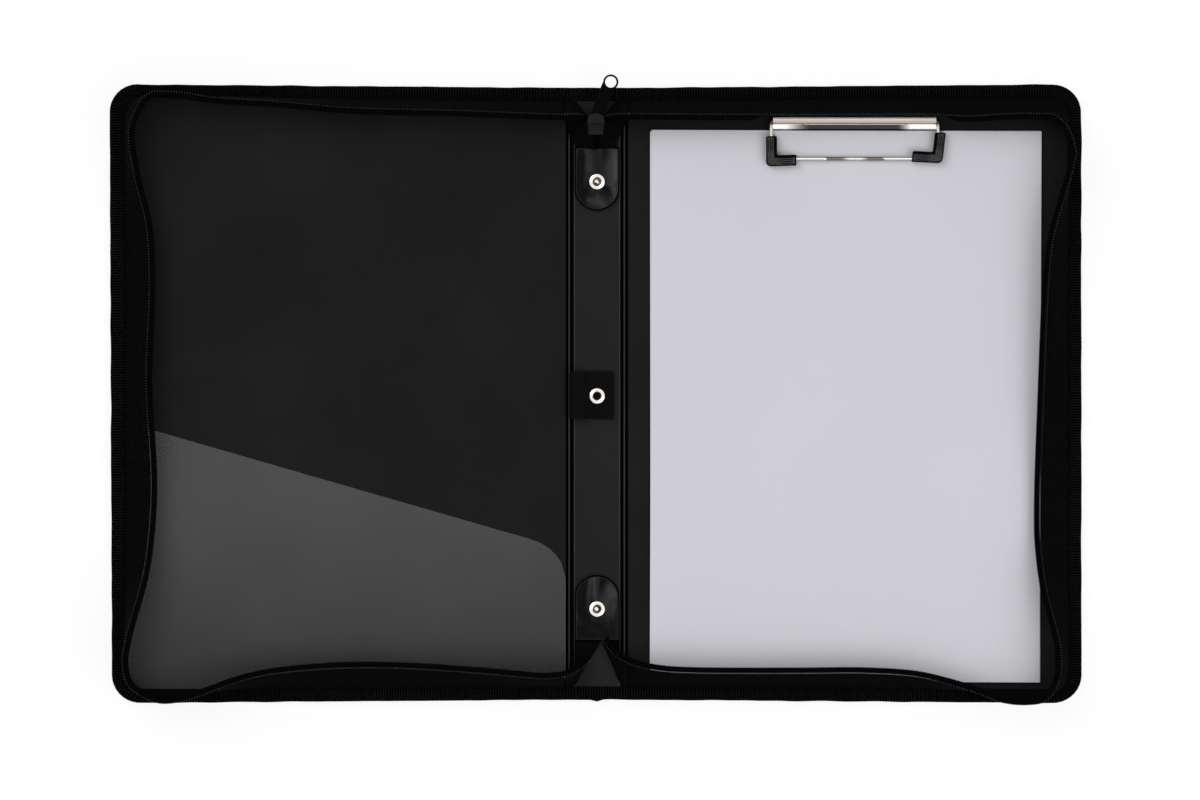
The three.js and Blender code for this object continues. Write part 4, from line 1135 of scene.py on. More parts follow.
def head_end(side, leans):
    foot, coil = cover_end(side, "head", leans)
    upper, lower, end = HEAD_OUTER[side]
    feet = [foot, (side * 16.2, SEAM_Y - 4.8, TAPE_FOOT), (side * upper, SEAM_Y - 11.8, TAPE_FOOT),
            (side * lower, SEAM_Y - 18.8, TAPE_FLAT), (side * end, TAB_HEAD_EDGE, TAPE_FLAT)]
    coils = [coil, (SLIDER_X + side * 9.6, SEAM_Y - 6.2, 12.5), (SLIDER_X + side * 6.4, SEAM_Y - 11.8, 9),
             (SLIDER_X + side * 5.4, SEAM_Y - 17.3, 8), (SLIDER_X + side * 3.2, TAB_HEAD_EDGE, 5)]
    return feet, coils


left_foot, left_coil = cover_end(-1, "foot", FRONT_LEANS)
right_foot, right_coil = cover_end(1, "foot", BACK_LEANS)
FOOT_LEFT = ([left_foot, (-13.8, 0.4 - SEAM_Y, TAPE_FOOT), (-12, 1.2 - SEAM_Y, TAPE_FOOT),
              (-8.3, 7.6 - SEAM_Y, TAPE_FOOT), (-4.8, 13.2 - SEAM_Y, TAPE_FLAT)],
             [left_coil, (-13.9, 6.6 - SEAM_Y, 17.4), (-11.4, 8.2 - SEAM_Y, 15), (-7.9, 10.2 - SEAM_Y, 11),
              (-4.3, 13.5 - SEAM_Y, 5.2)])
FOOT_RIGHT = ([right_foot, (13.9, 0.8 - SEAM_Y, TAPE_FOOT), (12.5, 2.4 - SEAM_Y, TAPE_FOOT),
               (7.7, 13.6 - SEAM_Y, TAPE_FOOT), (2.6, 24.8 - SEAM_Y, TAPE_FLAT)],
              [right_coil, (13.8, 14.2 - SEAM_Y, 12.6), (10.9, 15.8 - SEAM_Y, 10.8), (6.3, 20.4 - SEAM_Y, 8),
               (3.4, TAB_FOOT_EDGE, 5.2)])
FOOT_UNDER = {"left": ([(-12.2, TAB_FOOT_EDGE + 1), (-12.3, 15 - SEAM_Y), (-12.3, 8 - SEAM_Y)],
                       [(2.4, TAB_FOOT_EDGE + 1), (-4.6, 13.4 - SEAM_Y), (-8.6, 9 - SEAM_Y)]),
              "right": ([(12.2, TAB_FOOT_EDGE + 1), (12.3, 20 - SEAM_Y), (12.3, 14.6 - SEAM_Y)],
                        [(3.2, TAB_FOOT_EDGE + 1), (6.6, 20.4 - SEAM_Y), (11, 15.4 - SEAM_Y)])}
print("rails of the four zip ends")

# %% [markdown]
# The strips on these rails are made as those on the covers are. They cross the hinges, so they are baked in
# place and ride on no body. At the foot the tapes also run on flat under the tab, which holds them.

# %% Zip ends over the spine
UNDER_HEIGHT = LINING_TOP + 0.5


def cross_hinge(piece):
    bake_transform(piece)


for name, side, cover, rails in (("head_left", -1, "front_cover", head_end(-1, FRONT_LEANS)),
                                 ("head_right", 1, "back_cover", head_end(1, BACK_LEANS)),
                                 ("foot_left", -1, "front_cover", FOOT_LEFT),
                                 ("foot_right", 1, "back_cover", FOOT_RIGHT)):
    feet, coils = strip_edges(*rails, 120)
    strip = tape_strip(f"zip_end_{name}_cloth", feet, coils, TAPE_GAP, END_BULGE)
    cross_hinge(finish_piece(strip, TAPE_YARN, None, [f"tape_end_{name}"]))
    if name.startswith("foot"):
        for piece in teeth(f"zip_end_{name}_teeth", feet, coils, side):
            cross_hinge(piece)
for name, (near, far) in FOOT_UNDER.items():
    rails = [[(x, y, UNDER_HEIGHT) for x, y in rail] for rail in (near, far)]
    under = tape_strip(f"zip_foot_{name}_under", *strip_edges(*rails, 60), 0, UNDER_BULGE)
    finish_piece(under, TAPE_YARN, "spine")
print("four zip ends and two tapes under the foot tab")

# %% [markdown]
# At the head the tape stays sewn a little past the hinge and is folded down there, so a second strip
# fills the space between the binding and the teeth. The teeth run level into the slider's shoulders.

# %% Folds at the head
SHOULDER_HEIGHT = 8.6
FOLD_BULGE = 0.4
HEAD_BARE = {-1: 3, 1: 1}
HEAD_FOLDS = {-1: ((-11.9, SEAM_Y), (-8.7, SEAM_Y - 6.3)), 1: ((11.4, SEAM_Y - 0.2), (5.6, SEAM_Y - 6.6))}
for side, cover, leans in ((-1, "front_cover", FRONT_LEANS), (1, "back_cover", BACK_LEANS)):
    foot, coil = cover_end(side, "head", leans)
    leaves, meets = HEAD_FOLDS[side]
    row = [coil, (side * 12.5, SEAM_Y - 7.2, 14.5), (SLIDER_X + side * 7.6, SEAM_Y - 7.5, 11.4),
           (SLIDER_X + side * 4.4, SEAM_Y - 8.6, SHOULDER_HEIGHT)]
    feet = [foot, (side * 14.5, SEAM_Y, TAPE_FOOT), (*leaves, TAPE_FOOT), (*meets, TAPE_FOOT + 1.5)]
    feet_even, row_even = strip_edges(feet, row, 60)
    end = "left" if side < 0 else "right"
    strip = tape_strip(f"zip_end_head_{end}_fold", feet_even, row_even, TAPE_GAP, FOLD_BULGE)
    cross_hinge(finish_piece(strip, TAPE_YARN))
    for piece in teeth(f"zip_end_head_{end}_teeth", feet_even, row_even, -side, HEAD_BARE[side]):
        cross_hinge(piece)
print("two folds at the head")

# %% [markdown]
# ## Flat layers
# The skins, boards and linings are plain sheets, and their solids already have the right shape. They stay as
# they are and only get their finish. The skin and lining that cross the hinges are pressed together into a
# groove, so they are made anew as a strip.

# %% Skins, boards and linings
for cover in ("front_cover", "back_cover", "spine"):
    for layer, material, slot in (("skin", OUTER_BLACK, "leathercloth"), ("board", BOARD_GREY, "greyboard"),
                                  ("lining", SPINE_BLACK if cover == "spine" else LINING_BLACK, "lining")):
        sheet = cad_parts[f"{cover}_{layer}"]
        sheet.data.materials.clear()
        sheet.data.materials.append(material)
print("nine flat sheets")

# %% [markdown]
# The hinge groove has two lines pressed in, with a soft ridge between them. The lines are painted black as
# the shade down in them, and the ridge's crest and the spine's rim are painted grey as highlights. Its
# section is swept along the spine with a little wander in height, because pressed sheet is never quite flat.

# %% Hinge grooves
GROOVE_FLOOR = 1.5
GROOVE_RIDGE = 2.6
GROOVE_STATIONS = 83
WANDER, WANDER_STOPS = 0.15, 18
LAP = 0.22
RIDGE_SHIFT = {-1: 0.5, 1: 0.2}
# PLAIN faces are the sheet, LINE faces are painted shade and HIGHLIT faces are painted highlight.
PLAIN, LINE, HIGHLIT = 0, 1, 2
random.seed(4)


def hinge_section(side, wander):
    """Points of the section as (x, height), each with the band of the face that follows it: plain, painted
    shade or painted highlight.
    """
    inner, outer = SPINE_HALF - LAP, COVER_START + LAP
    top, floor_height, ridge = LINING_TOP + 0.04, GROOVE_FLOOR + wander, GROOVE_RIDGE + wander
    crest = HINGE_X + RIDGE_SHIFT[side]
    upper = [(inner, top - 0.1, PLAIN), (inner + 0.12, top, HIGHLIT), (inner + 0.5, top, PLAIN),
             (inner + 0.72, top - 0.8, LINE), (inner + 1.0, floor_height, LINE),
             (crest - 0.65, floor_height, LINE), (crest - 0.35, ridge - 0.3, HIGHLIT), (crest, ridge, HIGHLIT),
             (crest + 0.35, ridge - 0.3, LINE), (crest + 0.65, floor_height, LINE),
             (outer - 0.65, floor_height, LINE), (outer - 0.3, top - 0.8, PLAIN), (outer - 0.12, top, PLAIN),
             (outer, top - 0.1, PLAIN)]
    lower = [(outer, 0.3, PLAIN), (HINGE_X + 1.2, 0.75, PLAIN), (HINGE_X, 0.6, PLAIN),
             (HINGE_X - 1.2, 0.75, PLAIN), (inner, 0.62, PLAIN)]
    return [(side * x, z, band) for x, z, band in upper + lower]


HINGE_REACH = box_mm("back_hinge_web")[1].y
for side, cover, node in ((-1, "front_cover", "front_hinge_web"), (1, "back_cover", "back_hinge_web")):
    stations = np.linspace(-HINGE_REACH, HINGE_REACH, GROOVE_STATIONS)
    stops = [(random.uniform(-WANDER, WANDER), 0, 0) for turn in range(WANDER_STOPS)]
    wanders = smooth_curve(stops, np.linspace(0, WANDER_STOPS - 1, GROOVE_STATIONS))
    rings = [[(x, y, z) for x, z, band in hinge_section(side, wander[0])]
             for y, wander in zip(stations, wanders)]
    strip = rings_to_piece(cover + "_hinge_groove", rings)
    finish_piece(strip, SPINE_BLACK, None, [node])
    strip.data.materials.append(PAINTED_SHADE_BLACK)
    strip.data.materials.append(PAINTED_HIGHLIGHT_GREY)
    bands = [band for x, z, band in hinge_section(side, 0)]
    for face in strip.data.polygons[:len(bands) * (len(rings) - 1)]:
        face.material_index = bands[face.index % len(bands)]
    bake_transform(strip)
print("two hinge grooves")

# %% [markdown]
# ## End tabs
# A tab of glossy leathercloth pins the zip ends down at each end of the spine. It is straight at the zip
# and round toward the middle, with a folded edge and a shallow quilted swell round its rivet. Rings of
# the outline are drawn in step by step, each at its own height. Noise lifts soft creases in them, and the
# pull of the rivet adds spokes.

# %% Tabs
TAB_RINGS = ((0.0, 0.0), (0.0, 0.55), (0.25, 0.85), (0.8, 0.98), (1.2, 0.95), (2.1, 0.84), (2.7, 0.95),
             (4.0, 1.0), (5.5, 0.98), (7.0, 0.92), (8.5, 0.86), (9.6, 0.82), (10.6, 0.8))
TAB_CREASE = 0.5
TAB_SIDE_STEPS = 14
TAB_SPOKES = 5
TAB_WIDER = 0.7
TAB_ROUND_SHIFT = {1: 1.4, -1: -1.3}
TAB_LONGER = {1: 1.4, -1: 0}
# The outer bands, the tab's wall, are painted black as its shadow, and the next band is painted grey as the
# highlight on its folded edge.
SHADOW_BANDS, FOLD_HIGHLIGHT_BAND = (0, 1, 2), 3


def tab_outline(low, high, sign, drawn_in):
    """The tab's outline drawn in by some millimetres: straight end, two sides and a round end."""
    half = (high.x - low.x) / 2 + TAB_WIDER - drawn_in
    middle = (high.x + low.x) / 2
    straight = (high.y if sign > 0 else low.y) - sign * (drawn_in - TAB_LONGER[sign])
    round_centre = (low.y if sign > 0 else high.y) + sign * ((high.x - low.x) / 2 + TAB_ROUND_SHIFT[sign])
    shares = np.linspace(0, 1, TAB_SIDE_STEPS)
    points = [(middle + half * share, straight) for share in np.linspace(-1, 1, TAB_SIDE_STEPS)]
    points += [(middle + half, straight + (round_centre - straight) * share) for share in shares[1:]]
    points += [(middle + half * math.cos(turn), round_centre - sign * half * math.sin(turn))
               for turn in np.linspace(0, math.pi, 40)[1:]]
    points += [(middle - half, round_centre + (straight - round_centre) * share) for share in shares[1:-1]]
    return points


def crease_at(x, y, rivet_y, sign):
    """The creases at a place of a tab: soft folds everywhere and spokes round the rivet."""
    away = math.hypot(x, y - rivet_y)
    bends = 4 * noise.noise(Vector((x * 0.1, y * 0.1, sign)))
    spokes = math.sin(TAB_SPOKES * math.atan2(x, y - rivet_y) + bends)
    return 1.2 * noise.noise(Vector((x * 0.16, y * 0.09, sign * 7))) + spokes * math.exp(-abs(away - 6) / 4)


for name, sign in (("head", 1), ("foot", -1)):
    low, high = box_mm(f"end_tab_{name}")
    rivet_y = sum(corner.y for corner in box_mm(f"rivet_stud_{name}")) / 2
    rings = []
    for drawn_in, share in TAB_RINGS:
        ring = []
        for x, y in tab_outline(low, high, sign, drawn_in):
            lift = TAB_CREASE * crease_at(x, y, rivet_y, sign) * min(drawn_in / 2, 1)
            ring.append((x, y, min(low.z + (high.z - low.z) * share + lift, high.z + 0.4)))
        rings.append(ring)
    tab = rings_to_piece(f"zip_{name}_tab", rings)
    finish_piece(tab, TAB_BLACK, "spine", [f"end_tab_{name}"])
    tab.data.materials.append(PAINTED_SHADE_BLACK)
    tab.data.materials.append(TAB_FOLD_HIGHLIGHT)
    for face in tab.data.polygons[:len(rings[0]) * (len(rings) - 1)]:
        band = face.index // len(rings[0])
        face.material_index = 1 if band in SHADOW_BANDS else 2 if band == FOLD_HIGHLIGHT_BAND else 0
print("two end tabs")

# %% [markdown]
# ## Rivets
# Tubular rivets hold the tabs and the pen loop. The head is a bright flared ring round a dark cup, and a
# shallow cap closes them outside. They are turned on a lathe, so each is a profile and an axis.

# %% Rivets
CUP_DEPTH = 1.1
PIN_ASIDE = 0.3
for name in ("head", "middle", "foot"):
    low, high = box_mm(f"rivet_stud_{name}")
    centre = ((low.x + high.x) / 2, (low.y + high.y) / 2)
    top, head = high.z, (high.x - low.x) / 2
    seat = top - CUP_DEPTH
    stud = lathe(f"rivet_ring_{name}", [
        (0, low.z), (2.4, low.z), (2.4, seat), (head - 0.1, seat), (head, seat + 0.12), (head, seat + 0.45),
        (head - 0.14, seat + 0.72), (head - 0.45, top - 0.14), (head - 0.9, top - 0.02), (head - 1.3, top),
        (2.62, top - 0.06), (2.45, top - 0.2), (2.25, top - 0.55), (2.0, seat), (1.6, seat - 1.2),
        (0, seat - 1.3)], centre)
    finish_piece(stud, NICKEL, "spine", [f"rivet_stud_{name}"])
    cup = lathe(f"rivet_cup_{name}", [
        (0, seat - 0.9), (1.65, seat - 0.9), (1.95, seat), (2.28, top - 0.5), (2.36, top - 0.28),
        (2.2, top - 0.4), (1.8, seat), (1.45, seat - 0.5), (0.9, seat - 0.7), (0, seat - 0.7)], centre)
    finish_piece(cup, CUP_METAL, "spine")
    pin = lathe(f"rivet_floor_{name}", [
        (0, seat - 0.8), (1.25, seat - 0.8), (1.2, seat - 0.5), (0.9, seat - 0.32), (0.5, seat - 0.24),
        (0, seat - 0.22)], (centre[0] - PIN_ASIDE, centre[1]))
    finish_piece(pin, NICKEL, "spine")
    low, high = box_mm(f"rivet_cap_{name}")
    radius = (high.x - low.x) / 2
    profile = [(0, 0), (radius * 0.6, 0.02), (radius * 0.85, 0.1), (radius, 0.3), (radius, high.z),
               (0, high.z)]
    cap = lathe(f"rivet_back_{name}", profile, centre)
    finish_piece(cap, NICKEL, "spine", [f"rivet_cap_{name}"])
print("three rivets with caps")

# %% [markdown]
# ## Pen loop
# A strip of ribbed elastic is laid back over itself and riveted, so its left end stands up as a loop for
# a pen. The ribs run along the strip, so they are in the section that is swept along the loop's path.

# %% Pen loop
loop_low, loop_high = box_mm("pen_loop")
WEBBING = 0.8
LOOP_LEFT = -15.4
LOOP_TOP = 9.6
LOOP_RIB = 1.55
LOOP_RIB_HEIGHT = 0.12
RIB_STEPS = 5


def loop_centre_line():
    """From the tail's lower layer to the left, up and round, and back over itself to the tail."""
    base = LINING_TOP + 0.06 + WEBBING / 2
    over = base + WEBBING + 0.02
    left = LOOP_LEFT + WEBBING / 2 + LOOP_RIB_HEIGHT
    stops = [(loop_high.x, base), (4, base), (-4, base), (-8.5, base), (-12, base + 0.15),
             (left + 0.4, base + 1.3), (left + 0.2, 6.4), (-13.2, 8.5), (-10.6, LOOP_TOP - 0.7), (-8, 8.2),
             (-5.9, 6.2), (-4.6, over + 0.5), (-3, over), (0, over), (4, over), (loop_high.x, over)]
    return smooth_curve([(x, 0, z) for x, z in stops], np.linspace(0, len(stops) - 1, 260))


def ribbed_edge_places(low, high, rib, height):
    """Places across a ribbed band with the height of its ribs, a few places to a rib."""
    count = round((high - low) / rib)
    places = np.linspace(low, high, count * RIB_STEPS + 1)
    heights = height * (0.5 - 0.5 * np.cos((places - low) / (high - low) * count * math.tau))
    return list(zip(places, heights))


line, travelled = evenly(loop_centre_line(), 1.0)
along = unit(np.gradient(line, axis=0))
normals = np.stack([along[:, 2], np.zeros(len(line)), -along[:, 0]], -1)
across = ribbed_edge_places(loop_low.y, loop_high.y, LOOP_RIB, LOOP_RIB_HEIGHT)
flat = WEBBING / 2 - LOOP_RIB_HEIGHT
band = [(y, flat + rise) for y, rise in across] + [(y, -flat - rise) for y, rise in reversed(across)]
rings = [[(point[0] + normal[0] * lift, y, point[2] + normal[2] * lift) for y, lift in band]
         for point, normal in zip(line, normals)]
pen_loop = rings_to_piece("elastic_pen_loop", rings)
finish_piece(pen_loop, ELASTIC_YARN, "spine", ["pen_loop"])
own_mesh(pen_loop)
print("pen loop", round(travelled[-1]), "mm of elastic")

# %% [markdown]
# ## Paper
# A few sheets lie under the clip, not quite square to each other. Thin sheets with tiny turns and shifts
# show the stack's edges, and the top sheet's head edge is tilted a little, as in the photograph.

# %% Paper
paper_low, paper_high = box_mm("paper_sheets")
SHEETS = 5
SHEET_GAP = 0.05
TOP_TURN = -0.22
random.seed(11)
paper_centre = (paper_low + paper_high) / 2
half = (paper_high - paper_low) / 2
thickness = (paper_high.z - paper_low.z) / SHEETS
for number in range(SHEETS):
    top_sheet = number == SHEETS - 1
    turn = math.radians(TOP_TURN if top_sheet else random.uniform(-0.2, 0.1))
    shift_x, shift_y = (0, 0) if top_sheet else (random.uniform(-0.35, 0.35), random.uniform(-0.5, 0.1))
    outline = []
    for x, y in ((-half.x, -half.y), (half.x, -half.y), (half.x, half.y), (-half.x, half.y)):
        outline.append((paper_centre.x + shift_x + x * math.cos(turn) - y * math.sin(turn),
                        paper_centre.y + shift_y + x * math.sin(turn) + y * math.cos(turn)))
    bottom = paper_low.z + number * thickness
    sheet = plate(f"paper_sheet_{number + 1}", outline, bottom, bottom + thickness - SHEET_GAP)
    finish_piece(sheet, PAPER_WHITE, "back_cover", ["paper_sheets"] if top_sheet else ())
print(SHEETS, "sheets")

# %% [markdown]
# ## Clip
# A nickel clip holds the paper: a base plate with a rolled tube at its head edge, a hollow spring strip in
# front of it, and a wire bail that swings in the tube. All of them share a few sizes, which come first.

# %% Clip sizes
clip_low, clip_high = box_mm("clip_base")
strip_low, strip_high = box_mm("clip_spring_strip")
wire_low, wire_high = box_mm("bail_wire")
TUBE_RADIUS = 1.7
TUBE_BORE = 1.1
TUBE_Z = clip_high.z - TUBE_RADIUS
TUBE_Y = wire_high.y - (wire_high.z - wire_low.z) / 2
PLATE_THICK = 0.8
# Where the hollow strip's painted dark reflection lies, in millimetres along X.
DARK_REFLECTION_MIDDLE, DARK_REFLECTION_HALF, DARK_REFLECTION_FADE = (strip_low.x + strip_high.x) / 2, 24, 14
BAIL_Y = wire_low.y + 1.2
PRESSED_LEFT, PRESSED_SPOT, PRESSED_RIGHT = 123.2, 139.0, 154.8
# Places along Y for the tube's painted reflection and its less metallic head edge.
TUBE_EDGE = TUBE_Y + 0.3, TUBE_Y + 0.9
TUBE_FADE = TUBE_Y - 1.8, TUBE_Y + 0.7
TUBE_RIM = TUBE_Y + 1.2, TUBE_Y + 0.6
RIM_METAL = 0.1
print("clip", round(clip_high.x - clip_low.x, 1), "mm long")

# %% [markdown]
# The tube's colour carries painted light: a painted highlight along its head side and a painted brown
# reflection from its middle on. Its head edge is hardly metal, so that it mirrors no black cloth and shows
# the painted highlight. The hollow strip has painted highlights at its ends, broken up a little by noise, and
# a painted dark reflection along its middle. Both are masks along one axis.

# %% Tube and strip metals
TUBE_BROWN_REFLECTION, NICKEL_HIGHLIGHT_WHITE = (0.36, 0.25, 0.17, 1), (1.0, 0.98, 0.96, 1)
STRIP_DARK_REFLECTION = (0.05, 0.05, 0.05, 1)
TUBE_NICKEL, tube_tree, tube_shader = nickel_material("clip tube", PLATE_DULL, PLATE_BRIGHT)
tube_edge, tube_fade = (along_axis(tube_tree, "Y", *places) for places in (TUBE_EDGE, TUBE_FADE))
painted_tube_reflection = math_node(tube_tree, "MULTIPLY", math_node(tube_tree, "ADD", tube_edge, tube_fade), 0.5)
tint(tube_tree, tube_shader, painted_tube_reflection, TUBE_BROWN_REFLECTION, NICKEL_HIGHLIGHT_WHITE)
tube_metal = math_node(tube_tree, "MAXIMUM", along_axis(tube_tree, "Y", *TUBE_RIM), RIM_METAL)
tube_tree.links.new(tube_metal, tube_shader.inputs["Metallic"])
STRIP_NICKEL, strip_tree, strip_shader = nickel_material("hollow strip", PLATE_DULL, PLATE_BRIGHT)
strip_grain = place_group(strip_tree, grain_group, Scale=900)
highlight_breakup = math_node(strip_tree, "MULTIPLY", strip_grain.outputs["Cloud"], 0.3)
left_of_dark_reflection, right_of_dark_reflection = DARK_REFLECTION_MIDDLE - DARK_REFLECTION_HALF, DARK_REFLECTION_MIDDLE + DARK_REFLECTION_HALF
left_end = along_axis(strip_tree, "X", left_of_dark_reflection, left_of_dark_reflection - DARK_REFLECTION_FADE)
right_end = along_axis(strip_tree, "X", right_of_dark_reflection - 1, right_of_dark_reflection + DARK_REFLECTION_FADE / 2)
# Here bare is the painted highlight at both ends of the strip, and the noise breaks it up.
bare = math_node(strip_tree, "MAXIMUM", left_end, right_end)
bare = math_node(strip_tree, "MULTIPLY", math_node(strip_tree, "ADD", bare, highlight_breakup), bare)
tint(strip_tree, strip_shader, bare, STRIP_DARK_REFLECTION, NICKEL_HIGHLIGHT_WHITE)
print("tube and strip metals")

# %% [markdown]
# The wire's colour is painted light. Across the crossbar there is a painted dark shade on its head edge, a
# painted highlight along its core and a dimmer beige foot edge, and its pressed middle is painted darker but
# for a painted spot of highlight. These are masks along two axes, because the legs are painted with a dimmer
# highlight.

# %% Wire metal
WIRE_PAINTED_SHADE, WIRE_PAINTED_HIGHLIGHT = (0.10, 0.065, 0.045, 1), (1.0, 0.97, 0.93, 1)
PRESSED_SHADE = 0.85
WIRE_DULL, WIRE_WORN = (0.34, 0.28, 0.23, 1), (0.62, 0.56, 0.50, 1)
WIRE_NICKEL, wire_tree, wire_shader = nickel_material("bail wire", WIRE_DULL, WIRE_WORN)
# foot_edge and core make the painted highlight along the bar; head_edge and in_press make the painted shade.
foot_edge = along_axis(wire_tree, "Y", BAIL_Y - 0.5, BAIL_Y - 0.1)
core = math_node(wire_tree, "MULTIPLY_ADD", foot_edge, 0.6, 0.4)
head_edge = along_axis(wire_tree, "Y", BAIL_Y + 0.45, BAIL_Y + 0.75)
on_bar = along_axis(wire_tree, "Y", BAIL_Y + 2.5, BAIL_Y + 1.5)
head_edge = math_node(wire_tree, "MULTIPLY", head_edge, on_bar)
in_press = math_node(wire_tree, "MINIMUM", along_axis(wire_tree, "X", PRESSED_LEFT - 0.5, PRESSED_LEFT + 0.5),
                     along_axis(wire_tree, "X", PRESSED_RIGHT + 0.5, PRESSED_RIGHT - 0.5))
off_spot = math_node(wire_tree, "MAXIMUM", along_axis(wire_tree, "X", PRESSED_SPOT - 3, PRESSED_SPOT - 7),
                     along_axis(wire_tree, "X", PRESSED_SPOT + 3, PRESSED_SPOT + 7))
in_press = math_node(wire_tree, "MULTIPLY", in_press, off_spot)
in_press = math_node(wire_tree, "MULTIPLY", in_press, on_bar)
in_press = math_node(wire_tree, "MULTIPLY", in_press, PRESSED_SHADE)
shade = math_node(wire_tree, "MAXIMUM", in_press, head_edge)
on_leg = math_node(wire_tree, "MULTIPLY", along_axis(wire_tree, "Y", TUBE_Y - 1.5, TUBE_Y - 3.5), 0.6)
core = math_node(wire_tree, "MULTIPLY", core, math_node(wire_tree, "MAXIMUM", on_bar, on_leg))
lit = math_node(wire_tree, "MULTIPLY", core, math_node(wire_tree, "SUBTRACT", 1.0, shade))
tint(wire_tree, wire_shader, lit, WIRE_PAINTED_SHADE, WIRE_PAINTED_HIGHLIGHT)
print("wire metal")

# %% [markdown]
# The base plate and its tube are pressed from one sheet. The tube is open underneath, where it turns
# into the plate, and it has been pressed a little flat. The strip is slightly hollow along its top. Tube
# and strip run along X, so each is a short section in Y and Z that is swept once.

# %% Clip base and strip
TUBE_START, TUBE_END = -60, 235
TUBE_PRESS = 0.42
TUBE_WIDER = 1.3
STRIP_RISE = 0.95
STRIP_LIP = 0.42


def along_x(name, section, low_x, high_x, steps=2):
    """A closed section in Y and Z, swept along X."""
    return rings_to_piece(name, [[(x, y, z) for y, z in section] for x in np.linspace(low_x, high_x, steps)])


def arc(centre_y, centre_z, radius, start, end, steps):
    turns = [math.radians(degrees) for degrees in np.linspace(start, end, steps)]
    return [(centre_y + radius * math.cos(turn), centre_z + radius * math.sin(turn)) for turn in turns]


def flattened(section):
    """Presses the round tube a little flat, so that most of its top faces up, and wider on the head side."""
    pressed = []
    for y, z in section:
        reach = TUBE_RADIUS * (TUBE_WIDER if y > TUBE_Y else 1)
        share = abs((y - TUBE_Y) / TUBE_RADIUS) ** TUBE_PRESS
        pressed.append((TUBE_Y + reach * math.copysign(share, y - TUBE_Y), z))
    return pressed


roll = flattened(arc(TUBE_Y, TUBE_Z, TUBE_RADIUS, TUBE_START, TUBE_END, 36))
bore = arc(TUBE_Y, TUBE_Z, TUBE_BORE, TUBE_END, TUBE_START, 24)
tube = along_x("clip_tube", roll + bore, clip_low.x, clip_high.x)
sharpen(tube)
finish_piece(tube, TUBE_NICKEL, "back_cover", ["clip_base"])
plate_head = TUBE_Y + TUBE_RADIUS
plate_corners = [(clip_low.x, clip_low.y), (clip_high.x, clip_low.y), (clip_high.x, plate_head),
                 (clip_low.x, plate_head)]
base = plate("clip_plate", plate_corners, clip_low.z, clip_low.z + PLATE_THICK, 0.2)
finish_piece(base, NICKEL, "back_cover")
strip_head, strip_foot = strip_high.y, strip_low.y
strip_top = strip_low.z + STRIP_RISE
hollow = [(strip_foot + (strip_head - strip_foot) * share, strip_top - STRIP_LIP * (1 - (2 * share - 1) ** 2))
          for share in np.linspace(0, 1, 13)]
strip = along_x("clip_hollow_strip", [(strip_head, strip_low.z), (strip_foot, strip_low.z)] + hollow,
                strip_low.x, strip_high.x, 40)
sharpen(strip)
finish_piece(strip, STRIP_NICKEL, "back_cover", ["clip_spring_strip"])
for end in ("left", "right"):
    low, high = box_mm(f"clip_rivet_{end}")
    radius = (high.x - low.x) / 2
    profile = [(0, low.z), (radius, low.z), (radius, high.z + 0.25), (radius * 0.8, high.z + 0.42),
               (0, high.z + 0.5)]
    head = lathe(f"clip_pin_{end}", profile, ((low.x + high.x) / 2, (low.y + high.y) / 2), 24)
    finish_piece(head, NICKEL, "back_cover", [f"clip_rivet_{end}"])
print("clip base, strip and pins")

# %% [markdown]
# The bail is one springy wire. Its ends sit in the tube, its legs come forward, and the crossbar between
# the grips has a middle part that is pressed a little lower, so that it bites the paper. Each grip is an
# L of black plastic pushed over a corner of the wire.

# %% Bail wire
WIRE_RADIUS = 0.95
BAIL_Z = TUBE_Z
BAIL_LEFT = wire_low.x + 0.7
BAIL_RIGHT = wire_high.x - 0.7
BAIL_BEND = 3.0
PRESSED_DROP = 0.5
STUB = 4.0
WIRE_SPACING = 0.45


def round_bar(name, line, radius, sides=12):
    """A round bar along a line of points."""
    line = np.array(line, float)
    along = unit(np.gradient(line, axis=0))
    level = np.cross(np.array([0, 0, 1.0]), along)
    level = np.where(np.linalg.norm(level, axis=1, keepdims=True) < 1e-6, np.array([1.0, 0, 0]), level)
    level = unit(level)
    up = np.cross(along, level)
    rings = [[point + radius * (math.cos(turn) * a + math.sin(turn) * b)
              for turn in np.linspace(0, math.tau, sides, endpoint=False)]
             for point, a, b in zip(line, level, up)]
    return rings_to_piece(name, rings)


def bail_path():
    """Left stub, left leg, bend, crossbar with its pressed middle, bend, right leg, right stub."""
    path = [(BAIL_LEFT + STUB, TUBE_Y, BAIL_Z), (BAIL_LEFT + 1.2, TUBE_Y, BAIL_Z)]
    path += [(BAIL_LEFT + 1.0 - 1.0 * math.sin(turn), TUBE_Y - 1.0 + 1.0 * math.cos(turn), BAIL_Z)
             for turn in np.linspace(0.1, math.pi / 2, 6)]
    path += [(BAIL_LEFT + BAIL_BEND - BAIL_BEND * math.cos(turn),
              BAIL_Y + BAIL_BEND - BAIL_BEND * math.sin(turn), BAIL_Z)
             for turn in np.linspace(0, math.pi / 2, 9)]
    middle = (PRESSED_LEFT + PRESSED_RIGHT) / 2
    for x, drop in ((PRESSED_LEFT - 0.6, 0), (PRESSED_LEFT + 0.6, 1), (middle, 1)):
        path.append((x, BAIL_Y, BAIL_Z - PRESSED_DROP * drop))
    mirrored = [(BAIL_LEFT + BAIL_RIGHT - x, y, z) for x, y, z in reversed(path[:-1])]
    return path + mirrored


wire_line, wire_walked = evenly(bail_path(), WIRE_SPACING)
wire = round_bar("clip_wire", wire_line, WIRE_RADIUS, 16)
finish_piece(wire, WIRE_NICKEL, "clip_bail", ["bail_wire"])
print("wire of", round(wire_walked[-1]), "mm")

